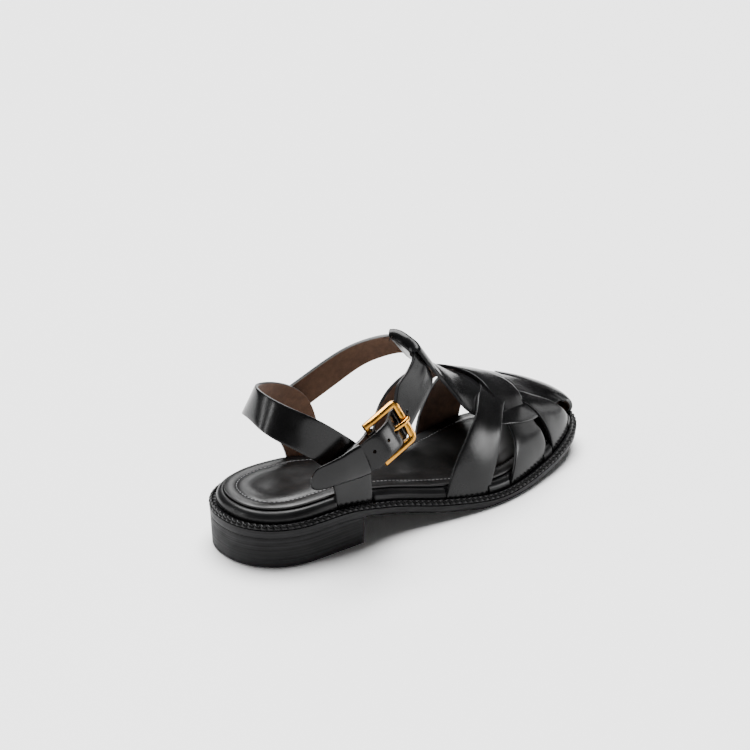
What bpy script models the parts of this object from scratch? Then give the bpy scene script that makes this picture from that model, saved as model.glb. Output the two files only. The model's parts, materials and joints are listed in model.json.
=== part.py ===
"""Fisherman sandal, right shoe: woven leather upper with an ankle buckle on a welted rubber sole.

Metres, +Z up. +X points to the toe and +Y to the inner (big toe) side.
The origin is on the floor, below the middle of the sole's outline.
"""

import math

import bmesh
import bpy
import numpy as np

# Driving dimensions of the sole
LENGTH = 0.262
BALL_WIDTH = 0.0935
HEEL_WIDTH = 0.0742
HEEL_CURVE = 0.038
HEEL_FULLNESS = 0.9
STACK_HEIGHT = 0.0187
STACK_LENGTH = 0.073
STACK_TAPER = 0.0012
SOLE_THICKNESS = 0.0050
WELT_HEIGHT = 0.0032
WELT_WIDTH = 0.0042
WELT_NOTCH = 0.0011
WELT_PITCH = 0.0046
BALL_THICKNESS = 0.0073
TOE_SPRING = 0.0103
RAND_HEIGHT = 0.0054
RAND_GROOVE = 0.0007
INSOLE_THICKNESS = 0.0016
HEEL_CUP = 0.0016

# Driving dimensions of the upper
INSTEP_HEIGHT = 0.100
LEATHER = 0.0020
LINING_STRAP = 0.0016
WEAVE_LIFT = 0.0015
LOOP_WIDTH = 0.0190
LOOP_SHIFT = 0.0025
LOOP_PLAY = 0.0008
BUCKLE_LENGTH = 0.0254
BUCKLE_WIDTH = 0.0280
BUCKLE_BAR = 0.0033
BUCKLE_CORNER = 0.0024
PRONG_WIDTH = 0.0022
HOLE_WIDTH = 0.0022
STRAP_LEAN = 0.25
TOE_BULGE = 0.0018
COVER_STAND = 0.0074
CLEARANCE = 0.0003

# What sits where, worked out from the sizes above
STRAP_INSET = WELT_WIDTH + CLEARANCE + 0.0001
RAND_INSET = STRAP_INSET + LEATHER + CLEARANCE
HEEL_TOP = STACK_HEIGHT + SOLE_THICKNESS + WELT_HEIGHT
RAND_LIP = RAND_INSET + CLEARANCE + 0.0001
INSOLE_EDGE = RAND_LIP + 2 * RAND_GROOVE
HINGE = -BUCKLE_LENGTH / 2 + BUCKLE_BAR / 2
DENSE = 1200

# Outline of the welt: share of the length, share of the named width, from heel to toe
LATERAL_OUTLINE = [
    ("along", "across", "width"),
    (0.200, -0.500, HEEL_WIDTH),
    (0.400, -0.412, BALL_WIDTH),
    (0.520, -0.464, BALL_WIDTH),
    (0.640, -0.484, BALL_WIDTH),
    (0.800, -0.378, BALL_WIDTH),
    (0.900, -0.261, BALL_WIDTH),
    (0.965, -0.128, BALL_WIDTH),
    (1.000, 0.089, BALL_WIDTH),
]
MEDIAL_OUTLINE = [
    ("along", "across", "width"),
    (0.965, 0.296, BALL_WIDTH),
    (0.900, 0.376, BALL_WIDTH),
    (0.800, 0.505, BALL_WIDTH),
    (0.700, 0.517, BALL_WIDTH),
    (0.570, 0.424, BALL_WIDTH),
    (0.430, 0.331, BALL_WIDTH),
    (0.200, 0.500, HEEL_WIDTH),
]

# Top of the welt: share of the length, share of the drop from heel to ball, share of the toe spring
WELT_PROFILE = [
    ("along", "drop", "spring"),
    (0.00, 0.00, 0.0),
    (0.22, 0.03, 0.0),
    (0.35, 0.30, 0.0),
    (0.50, 0.75, 0.0),
    (0.66, 1.00, 0.0),
    (0.80, 1.00, 0.2),
    (1.00, 1.00, 1.0),
]

# Edge of the sole layer, foot to top: inset and height as shares of its thickness
SOLE_EDGE = [
    ("inset", "height"),
    (0.60, 0.00),
    (0.24, 0.12),
    (0.08, 0.36),
    (0.04, 0.92),
    (0.12, 1.00),
]
# Flat tread under the ball: share of the length, and how much lower than the layer it reaches
TREAD = [
    ("along", "reach"),
    (0.00, 0.00),
    (0.56, 0.00),
    (0.60, 0.12),
    (0.70, 0.12),
    (0.78, 0.00),
    (1.00, 0.00),
]
# Section of the welt: inset and height as shares of its width and height, and how deep a notch cuts
WELT_SECTION = [
    ("inset", "height", "notch"),
    (0.19, -0.91, 0.0),
    (0.00, -0.38, 1.0),
    (0.25, 0.00, 0.6),
    (1.00, -0.12, 0.0),
    (1.00, -0.91, 0.0),
]
# Side of the rand: inset as a share of its groove, height as a share of its height above the welt
RAND_SIDE = [
    ("inset", "height"),
    (1.1, -0.53),
    (0.4, 0.19),
    (0.6, 0.35),
    (1.4, 0.43),
    (0.9, 0.50),
    (1.0, 0.70),
    (1.7, 0.78),
    (1.4, 0.85),
    (2.0, 1.00),
]
# Insole: inset as a share of the ball's width, height as a share of its thickness, share of the cup
INSOLE_SECTION = [
    ("inset", "height", "cup"),
    (0.000, 0.00, 0.0),
    (-0.002, 0.50, 0.0),
    (0.004, 1.00, 0.0),
    (0.075, 1.00, 0.0),
    (0.100, 1.45, 0.0),
    (0.170, 1.25, 1.0),
]
CUP_MIDDLE = 0.14
CUP_REACH = 0.16

# The last over the forefoot: crown height and crown offset as shares, and fullness of the section
LAST = [
    ("along", "height", "across", "fullness"),
    (0.40, 1.060, 0.043, 0.95),
    (0.50, 0.910, 0.043, 0.95),
    (0.57, 0.790, 0.053, 0.92),
    (0.65, 0.675, 0.064, 0.90),
    (0.72, 0.605, 0.075, 0.86),
    (0.80, 0.522, 0.086, 0.84),
    (0.88, 0.422, 0.096, 0.80),
    (0.94, 0.355, 0.096, 0.72),
    (0.98, 0.315, 0.091, 0.66),
    (1.00, 0.290, 0.089, 0.62),
]

# Woven straps on the last. Each row crosses the strap: the share of the length and the share of the
# girth (0 at the outer sole edge, 1 at the inner) of its rear and its front edge, and its lift.
STRAP_HEAD = ("rear_along", "rear_girth", "front_along", "front_girth", "lift")
REAR_TO_MIDDLE = [
    STRAP_HEAD,
    (0.497, 0.000, 0.609, 0.000, 0.0),
    (0.527, 0.074, 0.630, 0.050, 0.0),
    (0.570, 0.150, 0.655, 0.115, 0.0),
    (0.612, 0.230, 0.680, 0.195, 0.7),
    (0.650, 0.320, 0.706, 0.260, 0.7),
    (0.685, 0.380, 0.750, 0.340, -0.5),
    (0.700, 0.480, 0.792, 0.440, -0.5),
    (0.696, 0.620, 0.806, 0.560, 0.3),
    (0.685, 0.740, 0.802, 0.700, 0.3),
    (0.676, 0.850, 0.790, 0.830, 0.0),
    (0.662, 0.920, 0.782, 0.920, 0.0),
    (0.648, 1.000, 0.776, 1.000, 0.0),
]
MIDDLE_TO_REAR = [
    STRAP_HEAD,
    (0.680, 0.000, 0.810, 0.000, 0.0),
    (0.704, 0.075, 0.821, 0.065, 0.0),
    (0.713, 0.135, 0.815, 0.130, -0.3),
    (0.711, 0.190, 0.802, 0.185, -0.8),
    (0.702, 0.255, 0.790, 0.255, -0.4),
    (0.692, 0.330, 0.786, 0.330, 0.8),
    (0.689, 0.410, 0.784, 0.400, 0.8),
    (0.675, 0.485, 0.768, 0.470, 0.8),
    (0.640, 0.570, 0.735, 0.545, 0.8),
    (0.607, 0.662, 0.700, 0.625, 0.6),
    (0.565, 0.755, 0.665, 0.715, 0.0),
    (0.530, 0.826, 0.635, 0.810, 0.0),
    (0.505, 0.890, 0.615, 0.905, 0.0),
    (0.488, 1.000, 0.600, 1.000, 0.0),
]
TOE_OUTER = [
    STRAP_HEAD,
    (0.852, 0.000, 0.943, 0.000, 0.0),
    (0.846, 0.080, 0.944, 0.060, 0.0),
    (0.832, 0.160, 0.935, 0.130, 0.3),
    (0.812, 0.225, 0.914, 0.210, 0.7),
    (0.788, 0.275, 0.880, 0.285, 0.7),
    (0.765, 0.310, 0.830, 0.345, -0.4),
    (0.740, 0.340, 0.782, 0.385, -1.2),
]
# This strap closes the tip of the toe, so its rows have two points between their edges
TOE_INNER = [
    (
        *("rear_along", "rear_girth", "along_2", "girth_2"),
        *("along_3", "girth_3", "front_along", "front_girth", "lift"),
    ),
    (0.690, 0.245, 0.682, 0.232, 0.673, 0.218, 0.665, 0.205, -0.3),
    (0.720, 0.253, 0.713, 0.235, 0.707, 0.216, 0.700, 0.198, 0.5),
    (0.752, 0.262, 0.750, 0.238, 0.747, 0.214, 0.745, 0.190, 0.8),
    (0.787, 0.280, 0.791, 0.251, 0.796, 0.222, 0.800, 0.192, 0.2),
    (0.800, 0.360, 0.827, 0.315, 0.853, 0.270, 0.880, 0.225, -0.8),
    (0.805, 0.460, 0.845, 0.400, 0.888, 0.330, 0.932, 0.225, -0.9),
    (0.812, 0.580, 0.862, 0.530, 0.922, 0.430, 0.962, 0.170, -0.5),
]
# Foot of that strap: share of the length where it starts on the inner side and ends on the outer
TOE_FOOT = (0.858, 0.978)
TOE_FULLNESS = 0.62
INSTEP_BAR = [
    STRAP_HEAD,
    (0.690, 0.600, 0.700, 0.290, -1.1),
    (0.650, 0.610, 0.650, 0.240, -0.9),
    (0.620, 0.615, 0.612, 0.250, -0.5),
    (0.595, 0.610, 0.590, 0.280, 0.0),
    (0.572, 0.600, 0.566, 0.350, 0.3),
]

# Free straps round the ankle. Each row crosses the strap: share of the length, share of the sole's
# half breadth there and share of the height above the seat, for its lower and its upper edge.
BAND_HEAD = ("low_along", "low_across", "low_up", "top_along", "top_across", "top_up")
HEEL_BAND = [
    BAND_HEAD,
    (0.218, -1.000, 0.000, 0.313, -1.000, 0.000),
    (0.213, -1.010, 0.190, 0.309, -1.018, 0.230),
    (0.187, -1.020, 0.384, 0.292, -1.045, 0.454),
    (0.147, -1.000, 0.508, 0.240, -1.060, 0.596),
    (0.116, -0.901, 0.590, 0.183, -0.996, 0.764),
    (0.089, -0.690, 0.650, 0.137, -0.825, 0.860),
    (0.073, -0.370, 0.700, 0.110, -0.450, 0.915),
    (0.081, 0.020, 0.715, 0.104, 0.000, 0.930),
    (0.092, 0.380, 0.690, 0.120, 0.340, 0.912),
    (0.112, 0.660, 0.640, 0.156, 0.591, 0.862),
    (0.141, 0.849, 0.555, 0.206, 0.773, 0.797),
    (0.183, 0.950, 0.437, 0.260, 0.930, 0.705),
    (0.226, 1.000, 0.295, 0.302, 1.050, 0.590),
    (0.248, 1.010, 0.160, 0.330, 1.070, 0.420),
    (0.256, 1.000, 0.000, 0.344, 1.000, 0.000),
]
ANKLE_BAND = [
    BAND_HEAD,
    (0.266, 1.215, 0.400, 0.241, 1.175, 0.530),
    (0.290, 1.235, 0.405, 0.255, 1.205, 0.600),
    (0.324, 1.255, 0.485, 0.288, 1.215, 0.670),
    (0.397, 1.165, 0.640, 0.359, 1.150, 0.820),
    (0.450, 0.925, 0.767, 0.412, 0.965, 0.918),
    (0.501, 0.545, 0.836, 0.458, 0.645, 0.975),
    (0.535, 0.347, 0.845, 0.494, 0.390, 0.992),
    (0.548, 0.062, 0.810, 0.507, 0.085, 0.966),
    (0.552, -0.163, 0.752, 0.511, -0.131, 0.922),
    (0.532, -0.343, 0.700, 0.480, -0.297, 0.866),
    (0.494, -0.540, 0.670, 0.444, -0.494, 0.849),
    (0.455, -0.747, 0.624, 0.406, -0.687, 0.822),
]

# Buckle frame: its middle in shares, and the way the strap runs through it
BUCKLE_PLACE = (0.348, -1.095, 0.569)
BUCKLE_ALONG = (0.920, 0.070, 0.385)
BUCKLE_OUT = (-0.038, -0.966, 0.266)
# How far the ankle strap stands off the frame: shares of the buckle's length and of its bar
STRAP_THROUGH = [
    ("along", "out"),
    (0.48, -0.70),
    (0.34, -0.47),
    (0.17, 0.67),
    (0.00, 1.63),
    (-0.22, 2.07),
    (-0.46, 2.17),
]
# Slot for the prong in the ankle strap and in the short strap: its ends, as shares of the buckle's length
STRAP_SLOT = (0.00, 0.28)
TAIL_SLOT = (-0.63, -0.19)
# Punched holes of the ankle strap: share of the buckle's length, and of its bar off the frame
STRAP_HOLES = [
    ("along", "out"),
    (0.63, -0.70),
    (-0.12, 1.95),
    (-0.55, 2.17),
]
# Course of the prong between its eye and the outer bar: shares of the hinge's distance and of the bar
PRONG_COURSE = [
    ("along", "out"),
    (-0.55, 0.60),
    (0.00, 0.48),
    (0.45, 0.76),
    (0.80, 1.02),
]
# The strap's end inside the cover, and the cover itself: shares as for the bands
BUCKLE_TAIL = [
    BAND_HEAD,
    (0.265, -1.075, 0.309, 0.235, -1.070, 0.500),
    (0.279, -1.090, 0.334, 0.251, -1.078, 0.524),
    (0.295, -1.105, 0.360, 0.268, -1.065, 0.550),
    (0.309, -1.125, 0.385, 0.284, -1.030, 0.576),
]
STRAP_TIP = [
    BAND_HEAD,
    (0.300, -1.376, 0.362, 0.273, -1.257, 0.572),
    (0.276, -1.235, 0.320, 0.254, -1.205, 0.510),
    (0.248, -1.195, 0.305, 0.228, -1.190, 0.470),
    (0.226, -1.180, 0.330, 0.214, -1.175, 0.420),
]
COVER_BAND = [
    (*BAND_HEAD, "stand"),
    (0.284, -1.075, 0.275, 0.248, -1.075, 0.552, 1.22),
    (0.255, -1.075, 0.255, 0.226, -1.075, 0.525, 1.06),
    (0.221, -1.075, 0.250, 0.206, -1.075, 0.497, 1.00),
    (0.180, -1.080, 0.245, 0.180, -1.080, 0.470, 0.70),
    (0.150, -1.085, 0.262, 0.152, -1.085, 0.440, 0.42),
    (0.136, -1.090, 0.310, 0.138, -1.090, 0.385, 0.35),
]
COVER_PROFILE = [
    ("share", "rise"),
    (0.00, 0.00),
    (0.02, 0.42),
    (0.08, 0.80),
    (0.22, 0.90),
    (0.50, 0.94),
    (0.78, 0.90),
    (0.92, 0.80),
    (0.98, 0.42),
    (1.00, 0.00),
]
COVER_OUT = np.array([0.0, -0.985, 0.17])
COVER_FOOT = 0.08

BLACK_LEATHER = ((0.012, 0.012, 0.013), 0.22, 0.0)
BLACK_RUBBER = ((0.018, 0.018, 0.019), 0.55, 0.0)
STACKED_HEEL = ((0.016, 0.015, 0.015), 0.70, 0.0)
BLACK_INSOLE = ((0.014, 0.014, 0.015), 0.38, 0.0)
POLISHED_BRASS = ((0.80, 0.53, 0.20), 0.18, 1.0)


def columns(table):
    """Columns of a table by name, without its heading row."""
    return {name: [row[i] for row in table[1:]] for i, name in enumerate(table[0])}


def clear_scene():
    for obj in list(bpy.data.objects):
        bpy.data.objects.remove(obj, do_unlink=True)


def slopes(xs, ys):
    """End and inner slopes of a curve that never overshoots its points."""
    steps = np.diff(xs)
    rises = np.diff(ys) / steps
    result = np.zeros(len(xs))
    for i in range(1, len(xs) - 1):
        if rises[i - 1] * rises[i] > 0:
            before = 2 * steps[i] + steps[i - 1]
            after = steps[i] + 2 * steps[i - 1]
            result[i] = (before + after) / (before / rises[i - 1] + after / rises[i])
    result[0] = rises[0]
    result[-1] = rises[-1]
    return result


def read_curve(xs, ys, x):
    """Smooth reading of a table at x, held level past its ends."""
    xs = np.asarray(xs, float)
    ys = np.asarray(ys, float)
    m = slopes(xs, ys)
    x = np.clip(x, xs[0], xs[-1])
    j = np.clip(np.searchsorted(xs, x, side="right") - 1, 0, len(xs) - 2)
    h = xs[j + 1] - xs[j]
    u = (x - xs[j]) / h
    start = (2 * u**3 - 3 * u**2 + 1) * ys[j] + (u**3 - 2 * u**2 + u) * h * m[j]
    return start + (3 * u**2 - 2 * u**3) * ys[j + 1] + (u**3 - u**2) * h * m[j + 1]


def smooth_rows(rows, count):
    """Rows of numbers, read off a smooth curve through them at even steps."""
    rows = np.asarray(rows, float)
    padded = np.vstack([2 * rows[0] - rows[1], rows, 2 * rows[-1] - rows[-2]])
    spots = np.linspace(0, len(rows) - 1, count)
    j = np.clip(spots.astype(int), 0, len(rows) - 2)
    u = (spots - j)[:, None]
    p0, p1, p2, p3 = padded[j], padded[j + 1], padded[j + 2], padded[j + 3]
    cubic = (3 * p1 - 3 * p2 + p3 - p0) * u**3
    return 0.5 * (2 * p1 + (p2 - p0) * u + (2 * p0 - 5 * p1 + 4 * p2 - p3) * u**2 + cubic)


def smooth_loop(points, count):
    """Closed cubic curve through the points, read at even steps."""
    p = np.array(points, float)
    m = len(p)
    gap = np.linalg.norm(np.roll(p, -1, 0) - p, axis=1)
    reach = np.r_[0, np.cumsum(gap)]
    left = np.zeros((m, m))
    right = np.zeros((m, 2))
    for i in range(m):
        before, after = gap[i - 1], gap[i]
        left[i, (i - 1) % m] = 1 / before
        left[i, i] = 2 * (1 / before + 1 / after)
        left[i, (i + 1) % m] = 1 / after
        right[i] = 3 * ((p[i] - p[i - 1]) / before**2 + (p[(i + 1) % m] - p[i]) / after**2)
    k = np.linalg.solve(left, right)
    t = np.linspace(0, reach[-1], count, endpoint=False)
    j = np.clip(np.searchsorted(reach, t, side="right") - 1, 0, m - 1)
    u = ((t - reach[j]) / gap[j])[:, None]
    h = gap[j][:, None]
    n = (j + 1) % m
    start = (2 * u**3 - 3 * u**2 + 1) * p[j] + (u**3 - 2 * u**2 + u) * h * k[j]
    return start + (3 * u**2 - 2 * u**3) * p[n] + (u**3 - u**2) * h * k[n]


def outline(inset):
    """Dense outline of the sole, moved inwards by inset, from the heel by the outer side."""
    heel = []
    for turn in np.radians((25, 50, 72)):
        across = HEEL_WIDTH / 2 * math.sin(turn) ** HEEL_FULLNESS
        heel.append((HEEL_CURVE * (1 - math.cos(turn)), across))
    points = [(0.0, 0.0)]
    points += [(x, -y) for x, y in heel]
    points += [(a * LENGTH, c * w) for a, c, w in LATERAL_OUTLINE[1:]]
    points += [(a * LENGTH, c * w) for a, c, w in MEDIAL_OUTLINE[1:]]
    points += heel[::-1]
    curve = smooth_loop(points, DENSE)
    run = np.roll(curve, -1, 0) - np.roll(curve, 1, 0)
    inward = np.stack([-run[:, 1], run[:, 0]], -1)
    inward /= np.linalg.norm(inward, axis=1)[:, None]
    return curve + inward * inset


def sides(inset):
    """Outer and inner half of an outline, each sorted from heel to toe."""
    curve = outline(inset)
    toe = int(np.argmax(curve[:, 0]))
    halves = []
    for half in (curve[: toe + 1], np.vstack([curve[toe:], curve[:1]])):
        halves.append(half[np.argsort(half[:, 0])])
    return halves


SEAT_SIDES = sides(STRAP_INSET)
SEAT_END = SEAT_SIDES[0][-1, 0]
LAST_CORE = np.array([0.72 * LENGTH, 0.0, 0.2 * INSTEP_HEIGHT])


def welt_top(x):
    drop = HEEL_TOP - BALL_THICKNESS
    table = columns(WELT_PROFILE)
    share = np.asarray(x) / LENGTH
    fall = read_curve(table["along"], table["drop"], share)
    rise = read_curve(table["along"], table["spring"], share)
    return HEEL_TOP - drop * fall + TOE_SPRING * rise


def seat(x):
    """Foot of a strap's outer face, inside the welt; its inner face leans nearer to the sole."""
    return welt_top(x) - WELT_HEIGHT + CLEARANCE + STRAP_LEAN * LEATHER


def half_breadth(x, side):
    """Breadth from the middle line to the straps' feet on one side."""
    half = SEAT_SIDES[1 if side > 0 else 0]
    return abs(np.interp(max(x, 0.16 * LENGTH), half[:, 0], half[:, 1]))


def on_last(along, girth):
    """Outer face of the straps over the forefoot."""
    table = columns(LAST)
    x = np.minimum(np.asarray(along, float) * LENGTH, SEAT_END)
    crown = read_curve(table["along"], table["height"], x / LENGTH) * INSTEP_HEIGHT
    middle = read_curve(table["along"], table["across"], x / LENGTH) * BALL_WIDTH
    power = read_curve(table["along"], table["fullness"], x / LENGTH)
    outer = np.interp(x, SEAT_SIDES[0][:, 0], SEAT_SIDES[0][:, 1])
    inner = np.interp(x, SEAT_SIDES[1][:, 0], SEAT_SIDES[1][:, 1])
    arch = np.sin(np.pi * np.asarray(girth, float))
    arch = np.maximum(arch, 0)
    y = (outer + inner) / 2 - np.cos(np.pi * girth) * (inner - outer) / 2
    y = y + (middle - (outer + inner) / 2) * arch
    z = seat(x) + (crown - seat(x)) * arch**power
    return np.stack([x, y, z], -1)


def normals(grid):
    """Unit normals of a grid of points, by its own two directions."""
    du = np.gradient(grid, axis=0)
    dv = np.gradient(grid, axis=1)
    n = np.cross(du, dv)
    return n / np.maximum(np.linalg.norm(n, axis=2), 1e-12)[:, :, None]


def material(name, finish):
    mat = bpy.data.materials.new(name)
    mat.use_nodes = True
    shader = mat.node_tree.nodes["Principled BSDF"]
    shader.inputs["Base Color"].default_value = (*finish[0], 1.0)
    shader.inputs["Roughness"].default_value = finish[1]
    shader.inputs["Metallic"].default_value = finish[2]
    return mat


def centre_shift():
    """From the last's frame, with x from the heel, to the part's own origin."""
    curve = outline(0.0)
    low, high = curve.min(axis=0), curve.max(axis=0)
    return np.array([-(low[0] + high[0]) / 2, -(low[1] + high[1]) / 2, 0.0])


SHIFT = centre_shift()


def add_object(name, points, faces, collection, finish=None):
    mesh = bpy.data.meshes.new(name)
    mesh.from_pydata([tuple(p) for p in np.asarray(points) + SHIFT], [], faces)
    mesh.update()
    obj = bpy.data.objects.new(name, mesh)
    collection.objects.link(obj)
    if finish:
        obj.data.materials.append(material(name, finish))
    return obj


def grid_faces(rows, cols):
    faces = []
    for i in range(rows - 1):
        for j in range(cols - 1):
            a = i * cols + j
            faces.append((a, a + 1, a + cols + 1, a + cols))
    return faces


def slab(name, outer, thickness, collection, finish=None):
    """Wall of even thickness behind a grid of points on its outer face."""
    rows, cols = outer.shape[:2]
    faces = [tuple(reversed(face)) for face in grid_faces(rows, cols)]
    obj = add_object(name, outer.reshape(-1, 3), faces, collection, finish)
    wall = obj.modifiers.new("wall", "SOLIDIFY")
    wall.thickness = thickness
    wall.offset = -1.0
    bake(obj)
    point_outwards(obj)
    return obj


def point_outwards(obj):
    bm = bmesh.new()
    bm.from_mesh(obj.data)
    bmesh.ops.recalc_face_normals(bm, faces=bm.faces)
    bm.to_mesh(obj.data)
    bm.free()


def sole_loop(inset, height, stations, start=0.0, end=1.0):
    """Ring round the sole at an inset; height is a function of x."""
    turn = np.linspace(math.pi * start, math.pi * end, stations)
    halves = sides(inset)
    rings = []
    for half in halves:
        low, high = half[0, 0], half[-1, 0]
        x = low + (high - low) * (1 - np.cos(turn)) / 2
        y = np.interp(x, half[:, 0], half[:, 1])
        rings.append(np.stack([x, y, height(x)], -1))
    return rings[0], rings[1]


def sole_solid(name, levels, stations, collection, finish):
    """Closed solid through rings that share their stations, with laddered top and bottom."""
    points = []
    for inset, height in levels:
        outer, inner = sole_loop(inset, height, stations)
        points += list(outer) + list(inner[-2:0:-1])
    ring = 2 * stations - 2
    faces = []
    for level in range(len(levels) - 1):
        base = level * ring
        for i in range(ring):
            j = (i + 1) % ring
            faces.append((base + i, base + j, base + ring + j, base + ring + i))
    for base in (0, (len(levels) - 1) * ring):
        for i in range(stations - 1):
            here, there = (ring - i) % ring, ring - i - 1
            corners = [base + i, base + i + 1, base + there, base + here]
            faces.append(tuple(dict.fromkeys(corners)))
    obj = add_object(name, points, faces, collection, finish)
    point_outwards(obj)
    return obj


def drape(table, rows, cols):
    """Grid of points of one woven strap on the last, rear edge to front edge along each row."""
    data = smooth_rows(table[1:], rows)
    lift = data[:, -1] * WEAVE_LIFT
    pairs = data[:, :-1].reshape(rows, -1, 2)
    if pairs.shape[1] == 2:
        share = np.linspace(0, 1, cols)[None, :, None]
        pairs = pairs[:, :1] * (1 - share) + pairs[:, 1:] * share
    grid = on_last(pairs[:, :, 0], np.clip(pairs[:, :, 1], 0, 1))
    if grid.shape[1] != cols:
        grid = np.array([smooth_rows(row, cols) for row in grid])
    grid = facing(grid, LAST_CORE)
    return grid + normals(grid) * lift[:, None, None]


def toe_foot(cols):
    """Points along the seat, from the inner side round the tip of the toe to the outer side."""
    curve = outline(STRAP_INSET)
    tip = int(np.argmax(curve[:, 0]))
    outer, inner = curve[: tip + 1], curve[tip:]
    inner = inner[inner[:, 0] > TOE_FOOT[0] * LENGTH]
    outer = outer[outer[:, 0] > TOE_FOOT[1] * LENGTH]
    line = np.vstack([outer, inner])[::-1]
    reach = np.r_[0, np.cumsum(np.linalg.norm(np.diff(line, axis=0), axis=1))]
    at = np.linspace(0, reach[-1], cols)
    x, y = (np.interp(at, reach, line[:, k]) for k in (0, 1))
    return np.stack([x, y, seat(x)], -1)


def toe_strap(cols):
    """Inner toe strap: over the weave on the last, then down the wall of the toe to its foot."""
    top = drape(TOE_INNER, 17, cols)
    foot = toe_foot(cols)
    if np.dot(top[-1, 0] - top[-1, -1], foot[0] - foot[-1]) < 0:
        foot = foot[::-1]
    tangent = np.gradient(foot, axis=0)
    outward = np.stack([tangent[:, 1], -tangent[:, 0], np.zeros(cols)], -1)
    outward /= np.linalg.norm(outward, axis=1)[:, None]
    outward *= math.copysign(1.0, outward[cols // 2, 0])
    rows = []
    for turn in np.linspace(math.pi / 2, 0, 10)[1:]:
        level = math.sin(turn) ** TOE_FULLNESS
        inward = 1 - math.cos(turn)
        bulge = TOE_BULGE * math.sin(turn) * math.sin(2 * turn)
        wall = foot + (top[-1] - foot) * np.array([inward, inward, level])
        rows.append(wall + outward * bulge)
    return np.concatenate([top, rows])


def place(along, across, up):
    """Point given as shares: of the length, of the half breadth and of the height above the seat."""
    x = along * LENGTH
    base = float(seat(x))
    return np.array([x, across * half_breadth(x, across), base + up * (INSTEP_HEIGHT - base)])


def band_edges(table, count):
    rows = smooth_rows(table[1:], count)
    low = np.array([place(*row[:3]) for row in rows])
    top = np.array([place(*row[3:]) for row in rows])
    return low, top


def band_grid(low, top, cols):
    share = np.linspace(0, 1, cols)[None, :, None]
    return low[:, None, :] * (1 - share) + top[:, None, :] * share


def facing(grid, away):
    """Grid with its normals pointing away from a point."""
    if np.sum(normals(grid) * (grid - away)) < 0:
        return grid[:, ::-1]
    return grid


def join(target, others, solver="EXACT"):
    """Unites the others with the target and removes them."""
    for other in others:
        mod = target.modifiers.new("join", "BOOLEAN")
        mod.operation = "UNION"
        mod.solver = solver
        mod.object = other
        bake(target)
        bpy.data.objects.remove(other, do_unlink=True)


def cut(target, cutter):
    mod = target.modifiers.new("cut", "BOOLEAN")
    mod.operation = "DIFFERENCE"
    mod.solver = "EXACT"
    mod.object = cutter
    bake(target)
    bpy.data.objects.remove(cutter, do_unlink=True)


def bake(obj):
    """Replaces the object's mesh by its evaluated one."""
    graph = bpy.context.evaluated_depsgraph_get()
    mesh = bpy.data.meshes.new_from_object(obj.evaluated_get(graph))
    obj.modifiers.clear()
    obj.data = mesh


def heel_block(collection):
    """Stacked heel with a straight breast at its front."""
    stations = 15
    ground = lambda x: np.zeros_like(x)
    top = lambda x: welt_top(x) - WELT_HEIGHT - SOLE_THICKNESS - CLEARANCE
    points = []
    for inset, height in ((STACK_TAPER, ground), (STACK_TAPER / 2, top)):
        turn = math.acos(1 - 2 * (STACK_LENGTH - inset) / (LENGTH - 2 * inset)) / math.pi
        outer, inner = sole_loop(inset, height, stations, 0.0, turn)
        points += list(outer) + list(inner[:0:-1])
    ring = 2 * stations - 1
    faces = []
    for i in range(ring):
        j = (i + 1) % ring
        faces.append((i, j, ring + j, ring + i))
    for base in (0, ring):
        for i in range(stations - 1):
            corners = [base + i, base + i + 1, base + ring - i - 1, base + (ring - i) % ring]
            faces.append(tuple(dict.fromkeys(corners)))
    obj = add_object("heel_block", points, faces, collection, STACKED_HEEL)
    point_outwards(obj)
    return obj


def sole_level(share):
    """Height at a share of the sole layer, which has a flat tread under the ball."""
    tread = columns(TREAD)

    def at(x):
        top = welt_top(x) - WELT_HEIGHT
        reach = read_curve(tread["along"], tread["reach"], np.asarray(x) / LENGTH)
        low = np.maximum(top - SOLE_THICKNESS * (1 + reach), 0.0)
        return low + (top - low) * share
    return at


def outsole(collection):
    levels = [(inset * SOLE_THICKNESS, sole_level(height)) for inset, height in SOLE_EDGE[1:]]
    return sole_solid("outsole", levels, 34, collection, BLACK_RUBBER)


def welt(collection):
    """Ribbed ring round the foot: every other station is a notch, set in and down."""
    rim = outline(0.0)
    length = np.linalg.norm(np.roll(rim, -1, 0) - rim, axis=1).sum()
    count = 2 * int(length / WELT_PITCH)
    pick = np.linspace(0, DENSE, count, endpoint=False).astype(int)
    depth = np.where(np.arange(count) % 2, 0.0, WELT_NOTCH)[:, None]
    inward = (outline(WELT_WIDTH)[pick] - rim[pick]) / WELT_WIDTH
    grid = []
    for inset, height, notch in WELT_SECTION[1:]:
        spots = rim[pick] + inward * (inset * WELT_WIDTH + notch * depth)
        level = welt_top(spots[:, :1]) + height * WELT_HEIGHT - notch * depth / 2
        grid.append(np.hstack([spots, level]))
    points = np.stack(grid, axis=1).reshape(-1, 3)
    section = len(grid)
    faces = []
    for i in range(count):
        j = (i + 1) % count
        for k in range(section):
            n = (k + 1) % section
            faces.append((i * section + k, i * section + n, j * section + n, j * section + k))
    obj = add_object("welt", points, faces, collection, BLACK_RUBBER)
    point_outwards(obj)
    return obj


def above_welt(height):
    return lambda x: welt_top(x) + height


def midsole(collection):
    """Rolled and grooved edge under the footbed."""
    rows = []
    for inset, height in RAND_SIDE[1:]:
        rows.append((RAND_LIP + inset * RAND_GROOVE, above_welt(height * RAND_HEIGHT)))
    return sole_solid("midsole", rows, 28, collection, BLACK_LEATHER)


def insole_level(height, cup):
    """Height at a share of the insole's thickness, lowered by a share of the heel cup."""
    def at(x):
        dish = np.exp(-(((np.asarray(x) / LENGTH - CUP_MIDDLE) / CUP_REACH) ** 2))
        base = welt_top(x) + RAND_HEIGHT + CLEARANCE
        return base + height * INSOLE_THICKNESS - cup * HEEL_CUP * dish
    return at


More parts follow.
